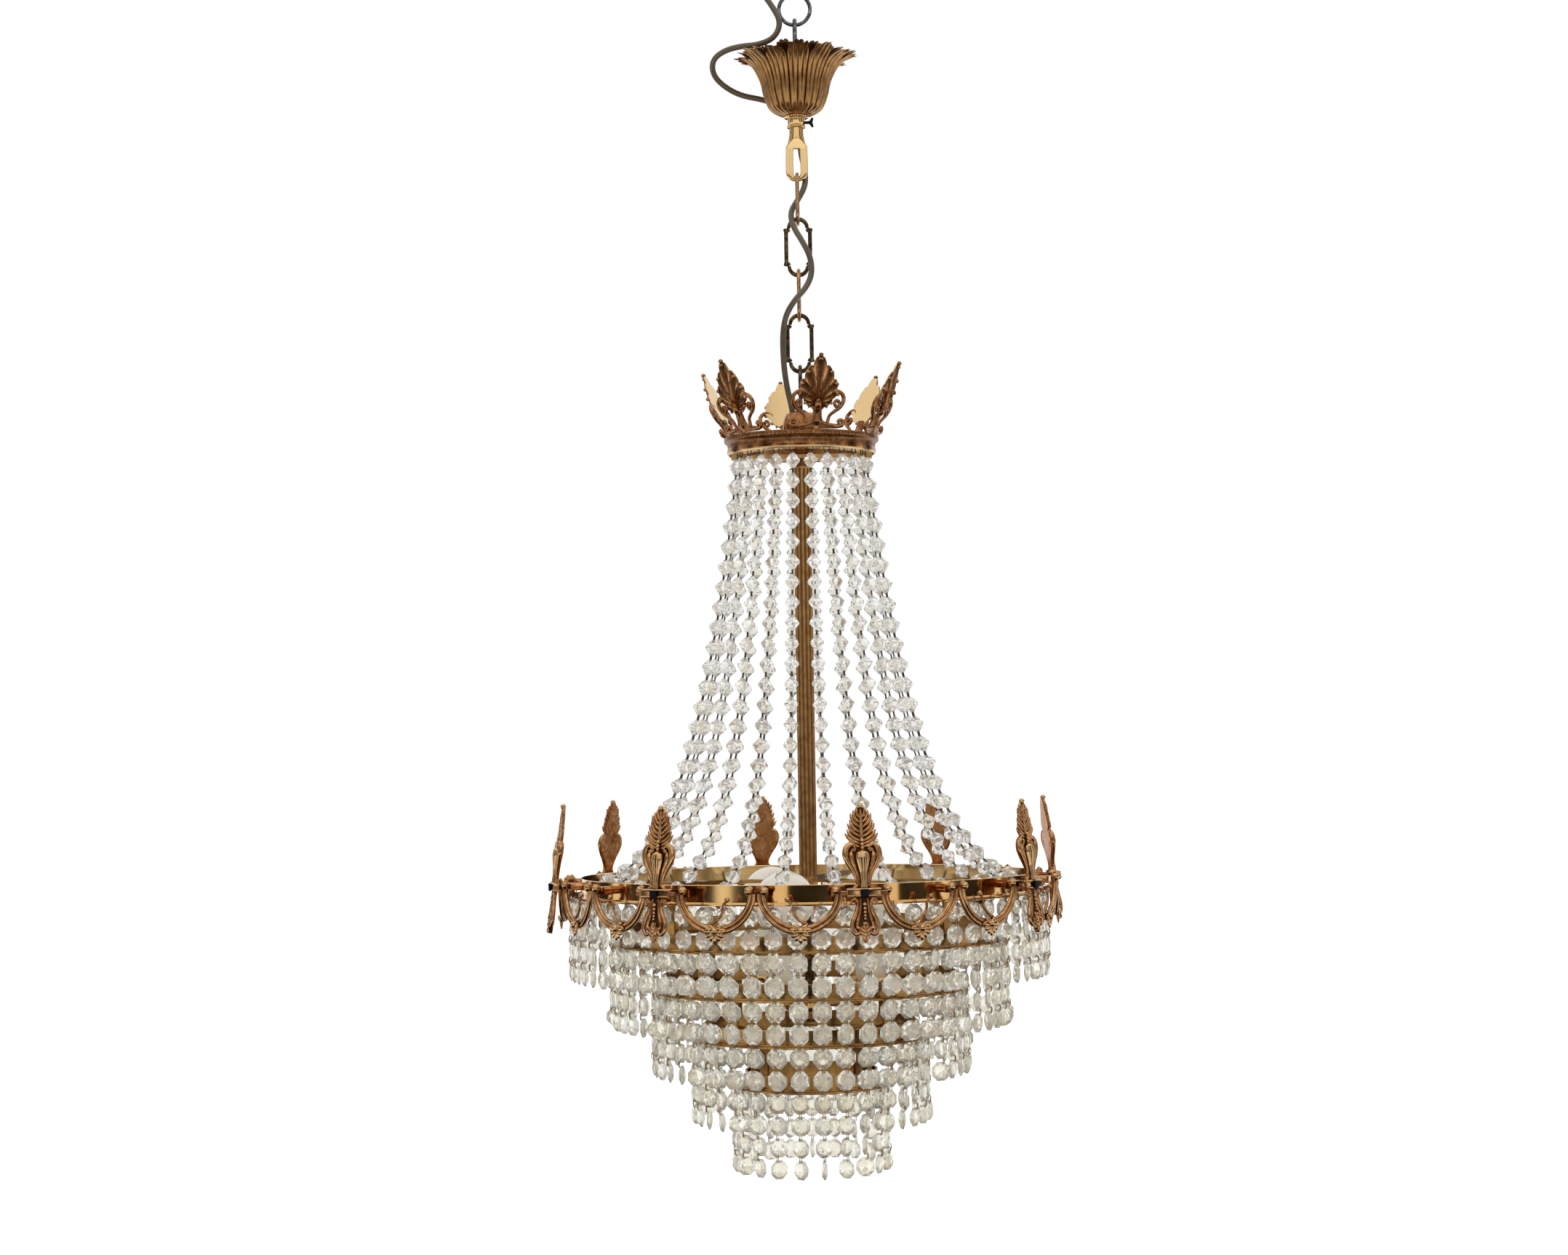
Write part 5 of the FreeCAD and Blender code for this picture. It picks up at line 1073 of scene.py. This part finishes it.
# Thin plates close the castings behind the ribs and scrolls: their fronts are dark with wash.
leaf_back = plaque((5.0, 8.6, 8.2, 6.0, 4.4, 1.6), (33.0, 38.0, 43.0, 49.0, 54.5, 60.0), 1.2,
                   bow=0.1, back=0.9)
vase_back = plaque((6.5, 4.2, 5.4, 9.4, 12.2, 9.0), (2.0, 7.0, 12.0, 20.0, 28.0, 34.0), 1.4,
                   bow=0.1, back=1.1)
lyre_back = plaque((0.6, 3.2, 7.6, 6.4, 3.6, 5.0), (-33.5, -29.5, -24.0, -17.0, -11.0, -3.0), 1.4,
                   bow=0.1, back=1.1)
plates = joined([leaf_back, vase_back, lyre_back])
plate_stain = np.where(plates[0][:, 1] > 1.4 * MM, 0.1, 0.85)
midrib = scroll([(0, 36), (0, 42), (0, 50), (0, 59)], (1.3, 1.5, 1.1, 0.9), 12, 20, 0.9)
vase_scroll = scroll([(6.8, 3.2), (4.4, 6.0), (4.9, 10.5), (7.4, 16.0), (10.6, 21.5), (12.2, 27.0),
                      (11.0, 32.0), (7.6, 34.2), (5.0, 32.0), (6.2, 29.6), (7.6, 30.8)],
                     (1.2, 1.3, 1.4, 1.6, 1.9, 2.3, 2.2, 1.8, 1.4, 1.3, 1.6), 12, 60)
vase_rib = scroll([(3.0, 5.0), (3.3, 11.0), (5.2, 17.0), (7.2, 22.0), (8.1, 26.5), (7.6, 29.5)],
                  (0.8, 1.0, 1.4, 1.9, 2.1, 1.0), 10, 30)
lyre_rib = scroll([(2.6, -4.0), (2.7, -9.0), (3.6, -14.5), (5.4, -20.0), (6.0, -24.5)],
                  (1.0, 1.0, 1.2, 1.4, 0.9), 10, 26)
lyre_scroll = scroll([(7.0, -7.6), (8.7, -6.9), (8.6, -4.9), (6.6, -4.0), (4.9, -6.0), (5.0, -10.0),
                      (6.6, -15.0), (8.9, -20.0), (9.4, -25.0), (7.0, -28.8), (4.0, -27.8), (4.0, -24.6),
                      (6.4, -24.4)],
                     (1.2, 1.1, 1.2, 1.3, 1.4, 1.5, 1.6, 1.6, 1.5, 1.3, 1.2, 1.4), count=56)
lyre_tip = serrated_leaf((0.8, 2.6, 3.6, 1.6), (-35.0, -31.0, -26.0, -20.5), 3)
# The beads of the spine, as radius and height.
SPINE_BEADS = ((1.5, -8.0), (1.3, -11.0), (1.2, -13.6), (1.1, -16.0), (1.0, -18.2),
               (1.3, 31.6), (1.5, 34.0), (1.6, 36.8))
spine = joined([ball(r * MM, np.array([0, -1.4, z]) * MM, (1, 0.8, 1), 8, 10) for r, z in SPINE_BEADS])
bar_profile = np.array([(-1.9, -3.4), (-3.0, -2.9), (-3.1, -2.0), (-2.2, -1.5), (-2.2, 1.5),
                        (-3.1, 2.0), (-3.0, 2.9), (-1.9, 3.4), (1.9, 3.4), (1.9, -3.4)])


def cross_piece(rows):
    """The moulded bar's profile carried from side to side: rows of (x, depth share, height share)."""
    return capped(np.stack([np.stack([np.full(10, x), bar_profile[:, 0] * deep, bar_profile[:, 1] * tall], 1)
                            for x, deep, tall in rows]) * MM)


bar = cross_piece(((-12.2, 0.9, 0.9), (-11.6, 1.0, 1.0), (11.6, 1.0, 1.0), (12.2, 0.9, 0.9)))
reach_bar = cross_piece(((-16.9, 0.6, 0.45), (16.9, 0.6, 0.45)))
bulb_boss = scroll([(0, 3.6), (0, 9.0), (0, 14.0), (0, 19.0), (0, 24.0), (0, 28.0), (0, 30.2)],
                   (2.6, 2.2, 2.7, 4.0, 5.2, 4.6, 1.0), 20, 36, 0.62)
bulb_boss = (bulb_boss[0] - [0, 1.4 * MM, 0], bulb_boss[1])
leaf_bead = ball(2.1 * MM, np.array([0, -0.4, 61.0]) * MM)
# The midrib, the spine's beads, the top bead and the bulb are painted paler as highlights, and all that
# stands over 0.8 mm forward of the plane is painted paler still.
ornament, ornament_wash_and_highlights = joined_with_wash_and_highlights(
    (plates, plate_stain), (leaf_ribs, 0.0), (midrib, -0.35), (mirrored(vase_scroll), 0.0),
    (mirrored(joined([vase_rib, lyre_rib])), 0.05), (mirrored(lyre_scroll), 0.0), lyre_tip, (spine, -0.2),
    (bar, 0.1), (reach_bar, 0.2), (bulb_boss, -0.05), (leaf_bead, -0.2))
ornament_wash_and_highlights = wear_and_painted_highlight(ornament, ornament_wash_and_highlights, 0.8, 2.0, 0.45)

ORNAMENTS, ORNAMENT_PHASE, ORNAMENT_LEAN, BOLT_LEVEL = 8, 11.4, -7, -690.0
set_ornament = placed(ornament, ORNAMENT_LEAN, (0, -196.0, BOLT_LEVEL))
piece("ornaments", around(set_ornament, ORNAMENTS, ORNAMENT_PHASE), cast_brass, "antique_brass",
      ["ring_ornaments"], "basket", patina=np.tile(ornament_wash_and_highlights, ORNAMENTS), crease=60)
# Square bolt heads with a chamfered face, as (half width, place forward), on round shanks.
square = np.array([-1, 1, 1, -1])
head = capped(np.stack([np.stack([square * h, np.full(4, y), np.roll(square, 1) * h + BOLT_LEVEL], 1)
                        for h, y in ((2.8, -198.6), (2.8, -200.4), (2.3, -200.9))]) * MM)
shank = tube(np.array([(0, -175.1, BOLT_LEVEL), (0, -198.7, BOLT_LEVEL)]) * MM, 1.9 * MM, 12,
             across=(1, 0, 0))
piece("square_bolts", around(joined([head, shank]), ORNAMENTS, ORNAMENT_PHASE), black_screw, "black_screw",
      ["ornament_bolts"], "basket", crease=30)


# --- Garlands ----------------------------------------------------------------------------------
# Sixteen cast swags hang between the ornaments in mirrored pairs: a double-ribbed arm that curls
# in to a ball at each end, and a spray of leaves at the bottom. Strips behind them hold the arms.
GARLAND_PLANE, GARLAND_TURN, GARLAND_LEVEL, GARLAND_HALF, GARLAND_SAG = 189.0, 13.2, -688.0, 27.7, 28.0
RIB_SHIFT, BALL_OUT, LEAF_FORWARD = 1.5, 25.2, 2.6
drop_to_end = GARLAND_SAG - 2.0
arc_radius = (GARLAND_HALF ** 2 + drop_to_end ** 2) / (2 * drop_to_end)
swing = np.linspace(-1, 1, 61) * math.asin(min(1.0, GARLAND_HALF / arc_radius))
swag_x = arc_radius * np.sin(swing)
swag_z = -GARLAND_SAG + arc_radius - arc_radius * np.cos(swing)
inward = -np.stack([np.sin(swing), -np.cos(swing)], 1)
forms = []
for shift in (-RIB_SHIFT, RIB_SHIFT):
    line = np.stack([swag_x, swag_z], 1) + inward * shift
    if shift > 0:
        line = np.concatenate([[(-25.4, 2.6), (-27.4, 2.3)], line, [(27.4, 2.3), (25.4, 2.6)]])
    thick = (1.5 + 0.3 * np.sin(np.linspace(0, np.pi, len(line)))) * MM
    forms.append((tube(upright(line), thick, 10), -0.05))
core = tube(upright(np.stack([swag_x, swag_z], 1)) + [0, 0.8 * MM, 0], 1.7 * MM, 10)
forms.append((core, 0.8))
for side in (-1, 1):
    forms.append((ball(3.1 * MM, np.array([side * BALL_OUT, -0.3, 0.0]) * MM, rows=13, sides=18), 0.0))
# The spray's leaves: the way each points, its length and its half width.
SPRAY_LEAVES = ((180, 8.5, 2.2), (212, 8.0, 2.3), (243, 8.0, 2.3), (270, 9.0, 2.0), (297, 8.0, 2.3),
                (328, 8.0, 2.3), (0, 8.5, 2.2), (140, 6.5, 1.8), (40, 6.5, 1.8))
for angle, long, wide in SPRAY_LEAVES:
    c, s = math.cos(math.radians(angle)), math.sin(math.radians(angle))
    points, faces = ball(1.0 * MM, (0, 0, 0), (long / 2, 1.1, wide), 11, 12)
    points = points + np.array([long / 2 * MM, 0, 0])
    points = points @ np.array([[c, 0, s], [0, 1, 0], [-s, 0, c]])
    forms.append(((points + np.array([0, -LEAF_FORWARD * MM, -GARLAND_SAG * MM]), faces), 0.15))
forms.append((ball(2.4 * MM, np.array([0, -3.6, -GARLAND_SAG]) * MM, (1, 0.8, 1)), 0.0))
tendril = scroll([(5.0, -24.0), (-1.0, -20.5), (-5.0, -15.5), (-5.6, -10.5), (-8.0, -7.5)],
                 (1.2, 1.1, 1.0, 0.9, 1.0), 10, 26)
forms.append((tendril, 0.1))
forms.append((ball(2.0 * MM, np.array([-9.0, -0.2, -6.2]) * MM), 0.0))
swag, swag_wash_and_highlights = joined_with_wash_and_highlights(*forms)
# Parts standing over 1 mm forward of the swag's plane are painted paler as highlights.
swag_wash_and_highlights = wear_and_painted_highlight(swag, swag_wash_and_highlights, 1.0, 2.5, 0.5)
swag = (swag[0] + np.array([0, -GARLAND_PLANE, GARLAND_LEVEL]) * MM, swag[1])
mirror_swag = (swag[0] * [-1, 1, 1], [f[:, ::-1] for f in swag[1]])
swags = joined([around(swag, ORNAMENTS, ORNAMENT_PHASE - GARLAND_TURN),
                around(mirror_swag, ORNAMENTS, ORNAMENT_PHASE + GARLAND_TURN)])
piece("garland_swags", swags, cast_brass, "antique_brass", ["garlands"], "basket",
      patina=np.tile(swag_wash_and_highlights, 2 * ORNAMENTS), crease=60)
dress(cast_brass, "garland_clips")


# --- Lamps -------------------------------------------------------------------------------------
# Three arms from a turned hub carry drip dishes, bakelite holders in cream card sleeves, and
# golf-ball bulbs of opal glass on brass screw caps.
# Rolled card dipped in wax: cream with a dull shine, yellowed in clouds about 17 mm wide.
sleeve_card, tree, shader = finish_named("waxed_cream_card", Roughness=0.5)
place = add(tree, "TexCoord").outputs["Object"]
yellowed = add(tree, "TexNoise", {"Vector": place, "Scale": 60.0, "Detail": 3.0}).outputs["Fac"]
body = add(tree, "Mix", {0: yellowed, 6: tone("#E6DCC2"), 7: tone("#F5EEDA")}, data_type="RGBA")
tree.links.new(body.outputs[2], shader.inputs["Base Color"])
# Moulded phenolic resin: plain black with a soft shine.
bakelite = finish_named("black_bakelite", Base_Color=tone("#1D1B1A"), Roughness=0.4)[0]
# Blown opal glass: a glossy cream white that lets light a little way in, warmer in clouds of 25 mm.
opal, tree, shader = finish_named("opal_lamp_glass", Roughness=0.16, Subsurface_Weight=0.3, Coat_Weight=0.6,
                                  Coat_Roughness=0.03)
place = add(tree, "TexCoord").outputs["Object"]
cloud = add(tree, "TexNoise", {"Vector": place, "Scale": 40.0}).outputs["Fac"]
body = add(tree, "Mix", {0: cloud, 6: tone("#F0E6D6"), 7: tone("#FBF4E8")}, data_type="RGBA")
tree.links.new(body.outputs[2], shader.inputs["Base Color"])
dress(sleeve_card, "candle_sleeves")
dress(bakelite, "lamp_holders")
dress(ring_brass, "lamp_hub", "lamp_arms", "drip_dishes")

# The globe is a sphere of radius GLOBE down to its neck; the cap's thread is a cosine wave.
LAMPS, LAMP_CIRCLE, LAMP_PHASE, GLOBE, GLOBE_LEVEL, SOCKET_TOP = 3, 47.4, -22.3, 22.5, -702.5, -730.0
NECK_HALF, POLE, THREAD_PITCH, THREAD_MEAN, THREAD_DEPTH = 11.5, 0.02, 2.9, 6.35, 0.3
around_globe = np.linspace(0, np.pi - math.asin(NECK_HALF / GLOBE), 26)
globe_line = np.stack([GLOBE * np.sin(around_globe), GLOBE_LEVEL + GLOBE * np.cos(around_globe)], 1)
globe_line[0, 0] = POLE
neck_line = np.array([(10.0, -724.6), (8.4, -726.8), (6.9, SOCKET_TOP + 1.4), (6.5, SOCKET_TOP + 1.0),
                      (POLE, SOCKET_TOP + 1.0)])
globe_form = turned(np.concatenate([globe_line, neck_line]) * MM, 48)
thread_level = np.linspace(SOCKET_TOP + 1.3, SOCKET_TOP - 19.5, 60)
thread = THREAD_MEAN + THREAD_DEPTH * np.cos((thread_level - SOCKET_TOP) / THREAD_PITCH * 2 * np.pi)
cap_line = np.concatenate([[(POLE, SOCKET_TOP + 1.3)], np.stack([thread, thread_level], 1),
                           [(3.4, SOCKET_TOP - 23.6), (POLE, SOCKET_TOP - 23.9)]])
cap_form = turned(cap_line * MM, 32)
for number in range(1, LAMPS + 1):
    angle = LAMP_PHASE + 360 / LAMPS * (number - 1)
    for part, form, material, nodes in (("globe", globe_form, opal, [f"bulb_{number}"]),
                                        ("screw_cap", cap_form, bright_brass, [])):
        points, faces = form
        piece(f"{part}_{number}", turned_to((points + [0, -LAMP_CIRCLE * MM, 0], faces), angle), material,
              "opal_glass" if nodes else "polished_brass", nodes, f"bulb_{number}", crease=45)
